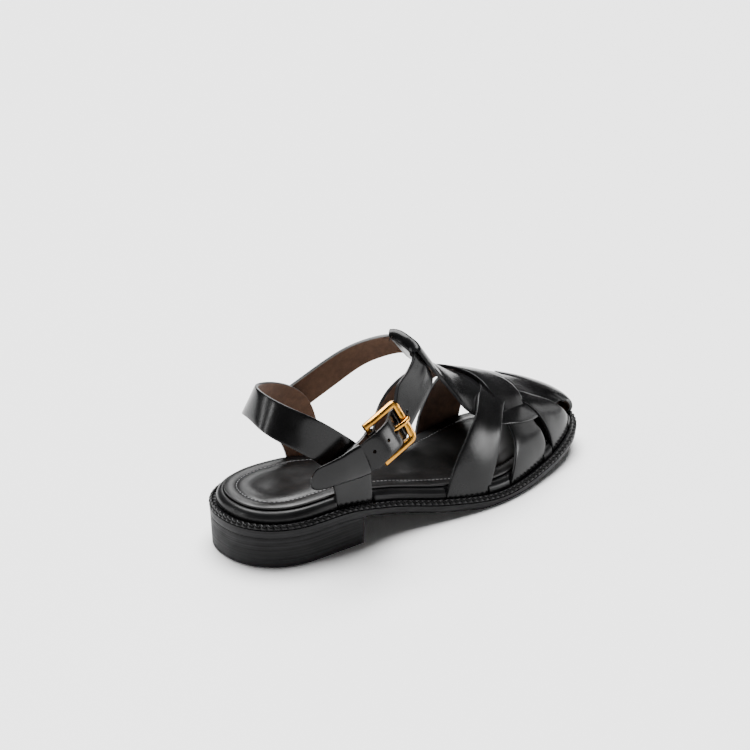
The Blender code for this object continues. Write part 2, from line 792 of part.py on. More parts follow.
def insole(collection):
    levels = []
    for inset, height, cup in INSOLE_SECTION[1:]:
        levels.append((INSOLE_EDGE + inset * BALL_WIDTH, insole_level(height, cup)))
    return sole_solid("insole", levels, 26, collection, BLACK_INSOLE)


def fold_path():
    """Course of the instep loop round the ankle strap: along the strap's width, and off its face."""
    above = LOOP_PLAY + LEATHER
    below = -LEATHER - LOOP_PLAY - LEATHER
    centre = (above + below) / 2
    reach = LEATHER + LOOP_PLAY
    path = [(share, 0.0, above) for share in (0.90, 0.68, 0.45, 0.22, 0.0)]
    for a in np.radians(np.linspace(90, 270, 9)[1:-1]):
        path.append((0.0, reach * math.cos(a), centre + (above - centre) * math.sin(a)))
    return path + [(share, 0.0, below) for share in (0.0, 0.25, 0.5, 0.75, 0.95)]


def loop_rows(cols):
    """Rows of the loop, each column set off the ankle strap where it crosses that strap."""
    low, top = band_edges(ANKLE_BAND, 161)
    middle = (low + top) / 2
    columns_y = LOOP_SHIFT + LOOP_WIDTH * np.linspace(-0.5, 0.5, cols)
    picks = [int(np.argmin(abs(middle[:, 1] - y))) for y in columns_y]
    rows = []
    for share, extra, off in fold_path():
        row = []
        for k in picks:
            run = low[k] - top[k]
            along = middle[k + 2] - middle[k - 2]
            out = np.cross(run, along)
            out *= math.copysign(1.0, out[2]) / np.linalg.norm(out)
            row.append(top[k] + run * (share + extra / np.linalg.norm(run)) + out * off)
        rows.append(row)
    return np.array(rows)


def instep_strip():
    """Instep bar and its loop as one strip, from the weave to the end under the ankle strap."""
    cols = 6
    bar = drape(INSTEP_BAR, 9, cols)
    loop = loop_rows(cols)
    if bar[0, 0, 1] > bar[0, -1, 1]:
        loop = loop[:, ::-1]
    return np.concatenate([bar, loop])


def vamp(collection):
    """Woven upper: four straps and the instep bar, joined where they cross."""
    straps = []
    for name, table, rows in (
        ("strap_rear", REAR_TO_MIDDLE, 28),
        ("strap_middle", MIDDLE_TO_REAR, 29),
        ("strap_toe_outer", TOE_OUTER, 18),
    ):
        straps.append(slab(name, drape(table, rows, 6), LEATHER, collection))
    straps.insert(2, slab("strap_toe_inner", toe_strap(8), LEATHER, collection))
    straps.append(slab("strap_instep", instep_strip(), LEATHER, collection))
    whole = straps[0]
    join(whole, straps[1:])
    whole.name = "vamp"
    whole.data.name = "vamp"
    whole.data.materials.clear()
    whole.data.materials.append(material("vamp", BLACK_LEATHER))
    return whole


def heel_strap(collection):
    low, top = band_edges(HEEL_BAND, 46)
    grid = facing(band_grid(low, top, 4), np.array([0.2 * LENGTH, 0, 0.6 * INSTEP_HEIGHT]))
    return slab("heel_strap", grid, LEATHER, collection, BLACK_LEATHER)


def buckle_frame_axes():
    along = np.array(BUCKLE_ALONG) / np.linalg.norm(BUCKLE_ALONG)
    out = np.array(BUCKLE_OUT)
    across = np.cross(out, along)
    across /= np.linalg.norm(across)
    return place(*BUCKLE_PLACE), along, across, np.cross(along, across)


def at_buckle(u, v, w):
    centre, along, across, out = buckle_frame_axes()
    return centre + along * u + across * v + out * w


def ankle_edges():
    """Both edges of the ankle strap, from its tab on the inner post into the cover."""
    low, top = band_edges(ANKLE_BAND, 40)
    half = np.linalg.norm(low[len(low) // 2] - top[len(top) // 2]) / 2
    tail_low, tail_top = [low[-1]], [top[-1]]
    for share, out in STRAP_THROUGH[1:]:
        tail_low.append(at_buckle(share * BUCKLE_LENGTH, -half, out * BUCKLE_BAR))
        tail_top.append(at_buckle(share * BUCKLE_LENGTH, half, out * BUCKLE_BAR))
    for row in STRAP_TIP[1:]:
        tail_low.append(place(*row[:3]))
        tail_top.append(place(*row[3:]))
    low = np.vstack([low[:-1], smooth_rows(tail_low, 24)])
    top = np.vstack([top[:-1], smooth_rows(tail_top, 24)])
    return low, top


def ankle_strap(collection):
    """Strap from the inner post, through the instep loop and the buckle, into the cover."""
    low, top = ankle_edges()
    grid = facing(band_grid(low, top, 4), np.array([0.3 * LENGTH, 0, 0.5 * INSTEP_HEIGHT]))
    strap = slab("ankle_strap", grid, LEATHER, collection, BLACK_LEATHER)
    width = PRONG_WIDTH + 3 * CLEARANCE
    ends = [share * BUCKLE_LENGTH for share in STRAP_SLOT]
    cut(strap, box_at("slot", ends, width, (-BUCKLE_BAR, 3 * BUCKLE_BAR), collection))
    for share, out in STRAP_HOLES[1:]:
        cut(strap, hole_at("hole", share * BUCKLE_LENGTH, out * BUCKLE_BAR, collection))
    return strap


def hole_at(name, along, out, collection):
    """Round cutter through the ankle strap, square to the buckle."""
    turns = np.linspace(0, 2 * math.pi, 10, endpoint=False)
    radius = HOLE_WIDTH / 2
    points = []
    for off in (out - 2 * LEATHER, out + LEATHER):
        points += [at_buckle(along + radius * math.cos(a), radius * math.sin(a), off) for a in turns]
    count = len(turns)
    faces = [tuple(range(count)), tuple(range(count, 2 * count))]
    for k in range(count):
        n = (k + 1) % count
        faces.append((k, n, count + n, count + k))
    obj = add_object(name, points, faces, collection)
    point_outwards(obj)
    return obj


def box_at(name, along, width, out, collection):
    """Cutter set out in the buckle's own directions."""
    points = []
    for u in along:
        for v in (-width / 2, width / 2):
            for w in out:
                points.append(at_buckle(u, v, w))
    faces = [(0, 1, 3, 2), (4, 6, 7, 5), (0, 4, 5, 1), (2, 3, 7, 6), (0, 2, 6, 4), (1, 5, 7, 3)]
    obj = add_object(name, points, faces, collection)
    point_outwards(obj)
    return obj


def buckle_strap(collection):
    """Short strap from the cover, wrapped round the buckle's hinge bar."""
    outer = BUCKLE_BAR / 2 + CLEARANCE + LINING_STRAP
    half = BUCKLE_WIDTH / 2 - BUCKLE_BAR - LEATHER
    grid = [[place(*row[:3]), place(*row[3:])] for row in BUCKLE_TAIL[1:]]
    for a in np.radians(np.linspace(250, 450, 12)):
        u, w = HINGE + outer * math.cos(a), outer * math.sin(a)
        grid.append([at_buckle(u, -half, w), at_buckle(u, half, w)])
    end = HINGE - LINING_STRAP * 1.5
    grid.append([at_buckle(end, -half, outer), at_buckle(end, half, outer)])
    grid = np.array(grid)
    if normals(grid)[0, 0, 1] < 0:
        grid = grid[:, ::-1]
    strap = slab("buckle_strap", grid, LINING_STRAP, collection, BLACK_LEATHER)
    ends = [share * BUCKLE_LENGTH for share in TAIL_SLOT]
    width = PRONG_WIDTH + 5 * CLEARANCE
    cut(strap, box_at("notch", ends, width, (-2 * BUCKLE_BAR, 2 * BUCKLE_BAR), collection))
    return strap


def cover_band(collection):
    """Cover on the outer post: its edges meet the post, its middle stands over the strap's end."""
    rows = smooth_rows(COVER_BAND[1:], 12)
    table = columns(COVER_PROFILE)
    grid = []
    for row in rows:
        low, top = place(*row[:3]), place(*row[3:6])
        lifts = [COVER_STAND * (COVER_FOOT + rise * row[6]) for rise in table["rise"]]
        grid.append([low * (1 - s) + top * s + COVER_OUT * lift for s, lift in zip(table["share"], lifts)])
    grid = facing(np.array(grid), np.array([0.25 * LENGTH, 0, 0.4 * INSTEP_HEIGHT]))
    return slab("cover_band", grid, LEATHER * 0.8, collection, BLACK_LEATHER)


def tube(name, points, radius, collection, cyclic=False, resolution=2):
    """Round bar along points, as one closed mesh."""
    curve = bpy.data.curves.new(name, "CURVE")
    curve.dimensions = "3D"
    curve.bevel_depth = radius
    curve.bevel_resolution = resolution
    curve.use_fill_caps = True
    spline = curve.splines.new("POLY")
    spline.points.add(len(points) - 1)
    for slot, point in zip(spline.points, points):
        slot.co = (*(np.asarray(point) + SHIFT), 1.0)
    spline.use_cyclic_u = cyclic
    guide = bpy.data.objects.new(name + "_guide", curve)
    collection.objects.link(guide)
    bpy.context.view_layer.update()
    graph = bpy.context.evaluated_depsgraph_get()
    mesh = bpy.data.meshes.new_from_object(guide.evaluated_get(graph))
    bpy.data.objects.remove(guide, do_unlink=True)
    bm = bmesh.new()
    bm.from_mesh(mesh)
    bmesh.ops.remove_doubles(bm, verts=bm.verts, dist=0.00001)
    bmesh.ops.recalc_face_normals(bm, faces=bm.faces)
    bm.to_mesh(mesh)
    bm.free()
    mesh.name = name
    obj = bpy.data.objects.new(name, mesh)
    collection.objects.link(obj)
    return obj


def buckle_frame(collection):
    """Rounded rectangle of round bar, hinge bar included."""
    radius = BUCKLE_BAR / 2
    half_u = BUCKLE_LENGTH / 2 - radius
    half_v = BUCKLE_WIDTH / 2 - radius
    points = []
    for cu, cv, start in ((1, 1, 0), (-1, 1, 90), (-1, -1, 180), (1, -1, 270)):
        for a in np.radians(np.linspace(start, start + 90, 4)):
            u = cu * (half_u - BUCKLE_CORNER) + BUCKLE_CORNER * math.cos(a)
            v = cv * (half_v - BUCKLE_CORNER) + BUCKLE_CORNER * math.sin(a)
            points.append(at_buckle(u, v, 0.0))
    frame = tube("buckle_frame", points, radius, collection, cyclic=True)
    frame.data.materials.append(material("buckle_frame", POLISHED_BRASS))
    return frame


def buckle_prong(collection):
    """Prong: an eye round the hinge bar, then over the outer bar."""
    radius = PRONG_WIDTH / 2
    eye = BUCKLE_BAR / 2 + CLEARANCE + radius
    path = []
    for a in np.radians(np.linspace(-80, -270, 9)):
        path.append((HINGE + eye * math.cos(a), eye * math.sin(a)))
    path += [(-HINGE * along, out * BUCKLE_BAR) for along, out in PRONG_COURSE[1:]]
    for a in np.radians((80, 55, 30)):
        path.append((-HINGE + eye * math.cos(a), eye * math.sin(a)))
    prong = tube("buckle_prong", [at_buckle(u, 0.0, w) for u, w in path], radius, collection, resolution=1)
    prong.data.materials.append(material("buckle_prong", POLISHED_BRASS))
    return prong


def build():
    clear_scene()
    collection = bpy.data.collections.new("fisherman_sandal")
    bpy.context.scene.collection.children.link(collection)
    heel_block(collection)
    outsole(collection)
    welt(collection)
    midsole(collection)
    insole(collection)
    vamp(collection)
    heel_strap(collection)
    ankle_strap(collection)
    buckle_strap(collection)
    cover_band(collection)
    buckle_frame(collection)
    buckle_prong(collection)


build()
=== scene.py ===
"""Fisherman sandal: finish, fine shapes and studio stage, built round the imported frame.

Run it as a script in Blender 4.5. Every operator makes one piece or one group of like pieces.
"""

import json
import math

import bpy
import numpy as np
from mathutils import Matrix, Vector

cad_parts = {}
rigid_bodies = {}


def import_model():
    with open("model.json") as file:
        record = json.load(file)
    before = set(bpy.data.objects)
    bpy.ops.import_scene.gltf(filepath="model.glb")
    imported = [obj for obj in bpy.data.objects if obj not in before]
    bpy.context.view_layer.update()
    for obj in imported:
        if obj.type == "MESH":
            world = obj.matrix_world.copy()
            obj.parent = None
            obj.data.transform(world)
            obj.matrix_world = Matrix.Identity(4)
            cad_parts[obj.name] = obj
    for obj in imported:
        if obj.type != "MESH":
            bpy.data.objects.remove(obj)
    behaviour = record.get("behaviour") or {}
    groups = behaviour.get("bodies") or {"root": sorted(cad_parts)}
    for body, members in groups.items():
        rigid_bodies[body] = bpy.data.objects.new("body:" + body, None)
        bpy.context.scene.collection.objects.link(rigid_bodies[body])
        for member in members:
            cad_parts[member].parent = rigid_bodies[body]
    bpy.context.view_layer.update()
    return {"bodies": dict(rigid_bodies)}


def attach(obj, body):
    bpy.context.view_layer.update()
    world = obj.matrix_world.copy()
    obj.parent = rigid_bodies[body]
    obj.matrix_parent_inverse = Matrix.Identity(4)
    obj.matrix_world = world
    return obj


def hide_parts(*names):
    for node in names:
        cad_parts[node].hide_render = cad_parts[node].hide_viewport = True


bl_info = {
    "name": "Fisherman Sandal Builder",
    "version": (1, 0, 0),
    "blender": (4, 5, 0),
    "location": "3D View > Sidebar > Sandal",
    "description": "Builds the leather, sole, buckle and stage of a fisherman sandal on its packed frame",
    "category": "Add Mesh",
}

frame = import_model()
BODY = next(iter(frame["bodies"]))

# Sizes of the sole, in metres, as the frame was built
LENGTH = 0.262
BALL_WIDTH = 0.0935
HEEL_WIDTH = 0.0742
HEEL_CURVE = 0.038
HEEL_ROUNDING = 0.9
HEEL_TURNS = (25, 50, 72)
STACK_LENGTH = 0.073
STACK_HEIGHT = 0.0187
SOLE_THICKNESS = 0.0050
WELT_HEIGHT = 0.0032
WELT_WIDTH = 0.0042
BEAD_PITCH = 0.0039
BALL_THICKNESS = 0.0073
TOE_SPRING = 0.0103
RAND_HEIGHT = 0.0054
INSOLE_THICKNESS = 0.0016
HEEL_CUP = 0.0016
CLEARANCE = 0.0003

# Sizes of the upper
INSTEP_HEIGHT = 0.100
LEATHER = 0.0020
LINING_STRAP = 0.0016
STRAP_LEAN = 0.25
WEAVE_LIFT = 0.0015
LOOP_WIDTH = 0.0190
LOOP_SHIFT = 0.0025
LOOP_PLAY = 0.0008
BUCKLE_LENGTH = 0.0254
BUCKLE_WIDTH = 0.0280
BUCKLE_BAR = 0.0033
BUCKLE_CORNER = 0.0024
PRONG_WIDTH = 0.0022
HOLE_WIDTH = 0.0020
COVER_STAND = 0.0074
COVER_OUT = np.array([0.0, -0.985, 0.17])
TOE_FOOT = (0.858, 0.978)
TOE_FULLNESS = 0.74
TOE_BULGE = 0.0050
TOE_BULGE_START = 0.10
TOE_BULGE_INNER = 0.35

STRAP_INSET = WELT_WIDTH + CLEARANCE + 0.0001
RAND_INSET = STRAP_INSET + LEATHER + CLEARANCE
HINGE = -BUCKLE_LENGTH / 2 + BUCKLE_BAR / 2
HEEL_HOLD = 0.16 * LENGTH
HEEL_TOP = STACK_HEIGHT + SOLE_THICKNESS + WELT_HEIGHT

# How finely the pieces are made: points round the sole, rows along a strap and columns across it
DENSE = 2400
RING_POINTS = 320
ROLL_POINTS = 960
HEEL_POINTS = 46
STRAP_COLS = 18
REAR_ROWS = 110
MIDDLE_ROWS = 120
TOE_OUTER_ROWS = 60
TOE_INNER_ROWS = 80
TOE_INNER_COLS = 26
BAR_ROWS = 9
INSTEP_ROWS = 110
LOOP_SAMPLES = 321
ANKLE_ROWS = 120
TAIL_ROWS = 100
ANKLE_COLS = 22
HEEL_STRAP_ROWS = 150
HEEL_STRAP_COLS = 16
SHORT_STRAP_COLS = 12
COVER_ROWS = 48
COVER_COLS = 40
HOLE_SIDES = 24
# Passes that average small kinks out of a strap's edges
HEEL_EASE = 50
ANKLE_EASE = 30
TAIL_EASE = 6

# Outline of the welt: share of the length, share of the named width, from heel to toe
LATERAL_OUTLINE = [
    ("along", "across", "width"),
    (0.200, -0.500, HEEL_WIDTH),
    (0.400, -0.412, BALL_WIDTH),
    (0.520, -0.464, BALL_WIDTH),
    (0.640, -0.484, BALL_WIDTH),
    (0.800, -0.378, BALL_WIDTH),
    (0.900, -0.261, BALL_WIDTH),
    (0.965, -0.128, BALL_WIDTH),
    (1.000, 0.089, BALL_WIDTH),
]
MEDIAL_OUTLINE = [
    ("along", "across", "width"),
    (0.965, 0.296, BALL_WIDTH),
    (0.900, 0.376, BALL_WIDTH),
    (0.800, 0.505, BALL_WIDTH),
    (0.700, 0.517, BALL_WIDTH),
    (0.570, 0.424, BALL_WIDTH),
    (0.430, 0.331, BALL_WIDTH),
    (0.200, 0.500, HEEL_WIDTH),
]
WELT_PROFILE = [
    ("along", "drop", "spring"),
    (0.00, 0.00, 0.0),
    (0.22, 0.03, 0.0),
    (0.35, 0.30, 0.0),
    (0.50, 0.75, 0.0),
    (0.66, 1.00, 0.0),
    (0.80, 1.00, 0.2),
    (1.00, 1.00, 1.0),
]

# The last over the forefoot: crown height and crown offset as shares, and fullness of the section
LAST = [
    ("along", "height", "across", "fullness"),
    (0.40, 1.060, 0.043, 0.95),
    (0.50, 0.910, 0.043, 0.95),
    (0.57, 0.790, 0.053, 0.92),
    (0.65, 0.675, 0.064, 0.90),
    (0.72, 0.605, 0.075, 0.86),
    (0.80, 0.522, 0.086, 0.84),
    (0.88, 0.422, 0.096, 0.80),
    (0.94, 0.355, 0.096, 0.72),
    (0.98, 0.315, 0.091, 0.66),
    (1.00, 0.290, 0.089, 0.62),
]

# Woven straps: share of the length and of the girth of the rear and the front edge, and the lift
STRAP_HEAD = ("rear_along", "rear_girth", "front_along", "front_girth", "lift")
REAR_TO_MIDDLE = [
    STRAP_HEAD,
    (0.497, 0.000, 0.609, 0.000, 0.0),
    (0.527, 0.074, 0.630, 0.050, 0.0),
    (0.570, 0.150, 0.655, 0.115, 0.0),
    (0.612, 0.230, 0.680, 0.195, 0.7),
    (0.650, 0.320, 0.706, 0.260, 0.7),
    (0.685, 0.380, 0.750, 0.340, -0.5),
    (0.700, 0.480, 0.792, 0.440, -0.5),
    (0.696, 0.620, 0.806, 0.560, 0.3),
    (0.685, 0.740, 0.802, 0.700, 0.3),
    (0.668, 0.850, 0.790, 0.830, 0.0),
    (0.650, 0.920, 0.782, 0.920, 0.0),
    (0.635, 1.000, 0.776, 1.000, 0.0),
]
MIDDLE_TO_REAR = [
    STRAP_HEAD,
    (0.680, 0.000, 0.810, 0.000, 0.0),
    (0.704, 0.075, 0.821, 0.065, 0.0),
    (0.713, 0.135, 0.815, 0.130, -0.3),
    (0.711, 0.190, 0.802, 0.185, -0.8),
    (0.702, 0.255, 0.790, 0.255, -0.4),
    (0.692, 0.330, 0.786, 0.330, 0.8),
    (0.689, 0.410, 0.784, 0.400, 0.8),
    (0.675, 0.485, 0.768, 0.470, 0.8),
    (0.640, 0.570, 0.735, 0.545, 0.8),
    (0.607, 0.662, 0.700, 0.625, 0.6),
    (0.558, 0.755, 0.665, 0.715, 0.0),
    (0.519, 0.826, 0.635, 0.810, 0.0),
    (0.493, 0.890, 0.615, 0.905, 0.0),
    (0.477, 1.000, 0.600, 1.000, 0.0),
]
TOE_OUTER = [
    STRAP_HEAD,
    (0.852, 0.000, 0.943, 0.000, 0.0),
    (0.846, 0.080, 0.944, 0.060, 0.0),
    (0.832, 0.160, 0.935, 0.130, 0.3),
    (0.812, 0.225, 0.914, 0.210, 0.7),
    (0.788, 0.275, 0.880, 0.285, 0.7),
    (0.765, 0.310, 0.830, 0.345, -0.4),
    (0.740, 0.340, 0.782, 0.385, -1.2),
]
TOE_INNER = [
    (
        *("rear_along", "rear_girth", "along_2", "girth_2"),
        *("along_3", "girth_3", "front_along", "front_girth", "lift"),
    ),
    (0.690, 0.245, 0.682, 0.232, 0.673, 0.218, 0.665, 0.205, -0.3),
    (0.720, 0.253, 0.713, 0.235, 0.707, 0.216, 0.700, 0.198, 0.5),
    (0.752, 0.262, 0.750, 0.238, 0.747, 0.214, 0.745, 0.190, 0.8),
    (0.787, 0.280, 0.791, 0.251, 0.796, 0.222, 0.800, 0.192, 0.2),
    (0.800, 0.360, 0.827, 0.315, 0.853, 0.270, 0.880, 0.225, -0.8),
    (0.805, 0.465, 0.847, 0.408, 0.892, 0.345, 0.938, 0.262, -0.9),
    (0.812, 0.590, 0.862, 0.505, 0.914, 0.372, 0.962, 0.215, 0.1),
]
INSTEP_BAR = [
    STRAP_HEAD,
    (0.690, 0.600, 0.700, 0.290, -1.1),
    (0.650, 0.610, 0.650, 0.240, -0.9),
    (0.620, 0.615, 0.612, 0.250, -0.5),
    (0.595, 0.610, 0.590, 0.280, 0.0),
    (0.572, 0.600, 0.566, 0.350, 0.3),
]

# Free straps: shares of the length, of the sole's half breadth there and of the height above the seat
BAND_HEAD = ("low_along", "low_across", "low_up", "top_along", "top_across", "top_up")
HEEL_BAND = [
    BAND_HEAD,
    (0.218, -1.000, 0.000, 0.313, -1.000, 0.000),
    (0.213, -1.010, 0.190, 0.309, -1.018, 0.230),
    (0.187, -1.020, 0.384, 0.292, -1.045, 0.454),
    (0.147, -1.000, 0.508, 0.240, -1.060, 0.596),
    (0.116, -0.901, 0.590, 0.183, -0.996, 0.764),
    (0.089, -0.690, 0.650, 0.137, -0.825, 0.860),
    (0.073, -0.370, 0.700, 0.110, -0.450, 0.915),
    (0.081, 0.020, 0.715, 0.104, 0.000, 0.930),
    (0.092, 0.380, 0.690, 0.120, 0.340, 0.912),
    (0.112, 0.660, 0.640, 0.156, 0.591, 0.862),
    (0.141, 0.849, 0.555, 0.206, 0.773, 0.797),
    (0.183, 0.950, 0.437, 0.260, 0.930, 0.705),
    (0.226, 1.000, 0.295, 0.302, 1.050, 0.590),
    (0.248, 1.010, 0.160, 0.330, 1.070, 0.420),
    (0.256, 1.000, 0.000, 0.344, 1.000, 0.000),
]
ANKLE_BAND = [
    BAND_HEAD,
    (0.266, 1.215, 0.400, 0.241, 1.175, 0.530),
    (0.290, 1.235, 0.405, 0.255, 1.205, 0.600),
    (0.324, 1.255, 0.485, 0.288, 1.215, 0.670),
    (0.397, 1.165, 0.640, 0.359, 1.150, 0.820),
    (0.450, 0.925, 0.767, 0.412, 0.965, 0.918),
    (0.501, 0.545, 0.836, 0.458, 0.645, 0.975),
    (0.535, 0.347, 0.845, 0.494, 0.390, 0.992),
    (0.548, 0.062, 0.810, 0.507, 0.085, 0.966),
    (0.552, -0.163, 0.752, 0.511, -0.131, 0.922),
    (0.532, -0.343, 0.700, 0.480, -0.297, 0.866),
    (0.494, -0.540, 0.670, 0.444, -0.494, 0.849),
    (0.455, -0.747, 0.624, 0.406, -0.687, 0.822),
]
BUCKLE_PLACE = (0.348, -1.095, 0.569)
BUCKLE_ALONG = (0.920, 0.070, 0.385)
BUCKLE_OUT = (-0.038, -0.966, 0.266)
STRAP_THROUGH = [
    ("along", "out"),
    (0.48, -0.70),
    (0.34, -0.47),
    (0.17, 0.67),
    (0.00, 1.63),
    (-0.22, 2.07),
    (-0.46, 2.17),
]
# Punched holes: share of the buckle's length, and of its bar off the frame
STRAP_HOLES = [
    ("along", "out"),
    (0.70, -0.75),
    (-0.25, 2.08),
    (-0.66, 2.17),
]
STRAP_SLOT = (0.00, 0.28)
# Course of the prong between its eye and the outer bar: shares of the hinge's distance and of the bar
PRONG_COURSE = [
    ("along", "out"),
    (-0.55, 0.60),
    (0.00, 0.48),
    (0.45, 0.76),
    (0.80, 1.02),
]
BUCKLE_TAIL = [
    BAND_HEAD,
    (0.265, -1.075, 0.309, 0.235, -1.070, 0.500),
    (0.279, -1.090, 0.334, 0.251, -1.078, 0.524),
    (0.295, -1.105, 0.360, 0.268, -1.065, 0.550),
    (0.309, -1.125, 0.385, 0.284, -1.030, 0.576),
]
STRAP_TIP = [
    BAND_HEAD,
    (0.300, -1.376, 0.362, 0.273, -1.257, 0.572),
    (0.276, -1.235, 0.320, 0.254, -1.205, 0.510),
    (0.248, -1.195, 0.305, 0.228, -1.190, 0.470),
    (0.226, -1.180, 0.330, 0.214, -1.175, 0.420),
]
COVER_BAND = [
    (*BAND_HEAD, "stand"),
    (0.284, -1.075, 0.275, 0.248, -1.075, 0.552, 1.22),
    (0.255, -1.075, 0.255, 0.226, -1.075, 0.525, 1.06),
    (0.221, -1.075, 0.250, 0.206, -1.075, 0.497, 0.92),
    (0.180, -1.080, 0.247, 0.180, -1.080, 0.470, 0.58),
    (0.150, -1.085, 0.264, 0.152, -1.085, 0.440, 0.30),
    (0.136, -1.090, 0.310, 0.138, -1.090, 0.385, 0.18),
]
COVER_PROFILE = [
    ("share", "rise"),
    (0.00, 0.00),
    (0.02, 0.36),
    (0.09, 0.74),
    (0.24, 0.90),
    (0.50, 0.96),
    (0.76, 0.94),
    (0.91, 0.91),
    (0.98, 0.82),
    (1.00, 0.70),
]
COVER_BASE = 0.08
COVER_LEATHER = 0.8 * LEATHER

# Section of the buckle's bars, in halves of a bar: outwards from the frame's middle, and up
BUCKLE_SECTION = [
    ("aside", "out"),
    (-1.15, -0.80),
    (0.95, -0.80),
    (1.32, -0.35),
    (1.32, 0.30),
    (0.80, 1.00),
    (-0.85, 1.00),
    (-1.32, 0.50),
]
CORNER_TURNS = (90.0, 70.0, 45.0, 20.0, 0.0)
BAR_MIDPOINT = 0.3
BAR_SOFTNESS = 0.00022
PIN_STEPS = 9
PIN_SIDES = 20
PIN_SHARE = 0.9
PIN_REACH = 0.0004
PIN_SOFTNESS = 0.0003
# The prong: turns of its eye round the pin and of its end over the bar, its breadth and its thickness
EYE_TURNS = np.linspace(-80, -270, 16)
HOOK_TURNS = (82, 60, 38, 16, -6, -30)
PRONG_ROWS = 40
PRONG_SIDES = 16
PRONG_BREADTH = 1.25
PRONG_FLATNESS = 0.8
HOOK_STAND = 1.2
# Turns of the short strap round the pin, and how far its end goes back below the buckle
SHORT_STRAP_TURNS = np.linspace(250, 450, 24)
SHORT_STRAP_END = 1.5
# The loop's course: shares of the ankle strap's width above it and below it, and steps of the fold
FOLD_ABOVE = (0.90, 0.68, 0.45, 0.22, 0.0)
FOLD_BELOW = (0.0, 0.25, 0.5, 0.75, 0.95)
FOLD_STEPS = 13

# Strap edges: how far they are drawn in, how quickly that begins, and what counts as an edge
EDGE_CUP = 0.00025
EDGE_POWER = 6
EDGE_ANGLE = 50
# Angles up to which a surface is shaded smooth, and from which the brass edges are softened
SOLID_ANGLE = 38
ROPE_ANGLE = 60
ROLL_ANGLE = 50
THREAD_ANGLE = 60
BRASS_ANGLE = 32
BRASS_EDGE_ANGLE = 28

# Side of the heel block: share of its height, and inset from the welt's outline
HEEL_LEVELS = [
    ("share", "inset"),
    (0.00, 0.0022),
    (0.03, 0.0014),
    (0.35, 0.0011),
    (0.70, 0.0008),
    (1.00, 0.0006),
]
# Side of the sole layer: inset, share of its thickness, rise off that, and how far the heel lets it out
SOLE_SECTION = [
    ("inset", "share", "rise", "let_out"),
    (0.0034, 0.0, 0.0000, 0.0026),
    (0.0020, 0.0, 0.0002, 0.0013),
    (0.0011, 0.0, 0.0008, 0.0006),
    (0.0006, 0.0, 0.0018, 0.0002),
    (0.0004, 0.5, 0.0000, 0.0),
    (0.0003, 1.0, -0.0012, 0.0),
    (0.0002, 1.0, -0.0005, 0.0),
    (0.0003, 1.0, -0.0001, 0.0),
    (0.0008, 1.0, 0.0000, 0.0),
]
# Where that ends ahead of the heel: shares of the stack's length
LET_OUT_END = (0.97, 1.06)
# Tread below the ball: where it stands out along the sole, and by how much
TREAD = [
    ("along", "share"),
    (0.00, 0),
    (0.56, 0),
    (0.60, 1),
    (0.70, 1),
    (0.78, 0),
    (1.00, 0),
]
TREAD_HEIGHT = 0.0006
# Section of the rope welt: inset, height off the welt's top, and how deep the beads are cut there
WELT_SECTION = [
    ("inset", "height", "relief"),
    (0.0007, -WELT_HEIGHT + CLEARANCE, 0.0),
    (0.0001, -WELT_HEIGHT + 0.0007, 0.2),
    (-0.0001, -0.0021, 0.7),
    (0.0000, -0.0013, 1.0),
    (0.0004, -0.0006, 1.0),
    (0.0010, -0.0001, 1.0),
    (0.0017, 0.0002, 1.0),
    (0.0024, 0.0000, 1.0),
    (0.0029, -0.0005, 0.8),
    (0.0033, -0.0009, 0.3),
    (0.0042, -0.0010, 0.0),
    (0.0042, -WELT_HEIGHT + CLEARANCE, 0.0),
]
# Beads of the rope: middle of the section, slant, depth, sharpness, and steps in one bead
WELT_CORE = (0.0016, -0.0014)
BEAD_SLANT = 0.75 / 0.0029
BEAD_DEPTH = 0.0017
BEAD_SHARPNESS = 0.7
BEAD_STEPS = 10
# Section of the padded insole: inset from its edge, rise, and share of the heel's cup
INSOLE_SECTION = [
    ("inset", "rise", "cup"),
    (0.0006, 0.0, 0.0),
    (0.0001, 0.0003, 0.0),
    (0.0000, 0.0008, 0.0),
    (0.0002, INSOLE_THICKNESS * 0.85, 0.0),
    (0.0006, INSOLE_THICKNESS, 0.0),
    (0.0040, INSOLE_THICKNESS, 0.0),
    (0.0062, INSOLE_THICKNESS, 0.0),
    (0.0067, INSOLE_THICKNESS - 0.0002, 0.0),
    (0.0072, INSOLE_THICKNESS - 0.0005, 0.0),
    (0.0077, INSOLE_THICKNESS - 0.0001, 0.0),
    (0.0090, INSOLE_THICKNESS + 0.0003, 0.0),
    (0.0106, INSOLE_THICKNESS + 0.0006, 0.03),
    (0.0126, INSOLE_THICKNESS + 0.0009, 0.15),
    (0.0145, INSOLE_THICKNESS + 0.0011, 0.36),
    (0.0170, INSOLE_THICKNESS + 0.0010, 0.60),
    (0.0195, INSOLE_THICKNESS + 0.0009, 0.80),
    (0.0220, INSOLE_THICKNESS + 0.0008, 0.94),
    (0.0245, INSOLE_THICKNESS + 0.0008, 1.00),
]
# Insole: inset from the rand, middle and reach of the heel's dish, and place of its seam
INSOLE_INSET = 0.0014
HEEL_DISH = (0.14, 0.16)
STITCH_INSET = 0.0072
STITCH_DROP = 0.00025
SEAM_EVERY = 6
# One stitch: shares of its length and of its thickness
STITCH_PROFILE = [
    ("along", "thick"),
    (-0.50, 0.35),
    (-0.38, 0.85),
    (0.00, 1.00),
    (0.38, 0.85),
    (0.50, 0.35),
]
STITCH_SIDES = 6
STITCH_THICKNESS = 0.00030
STITCH_SHARE = 0.62
STITCH_BREADTH = 1.25
STITCH_AHEAD = 0.0004

# Feet of the straps on each side of the sole, where they press the rand in: shares of the length
OUTER_FEET = [(0.218, 0.313), (0.497, 0.609), (0.680, 0.810), (0.852, 0.943), (0.974, 1.100)]
INNER_FEET = [(0.256, 0.344), (0.477, 0.600), (0.635, 0.776), (0.858, 1.100)]
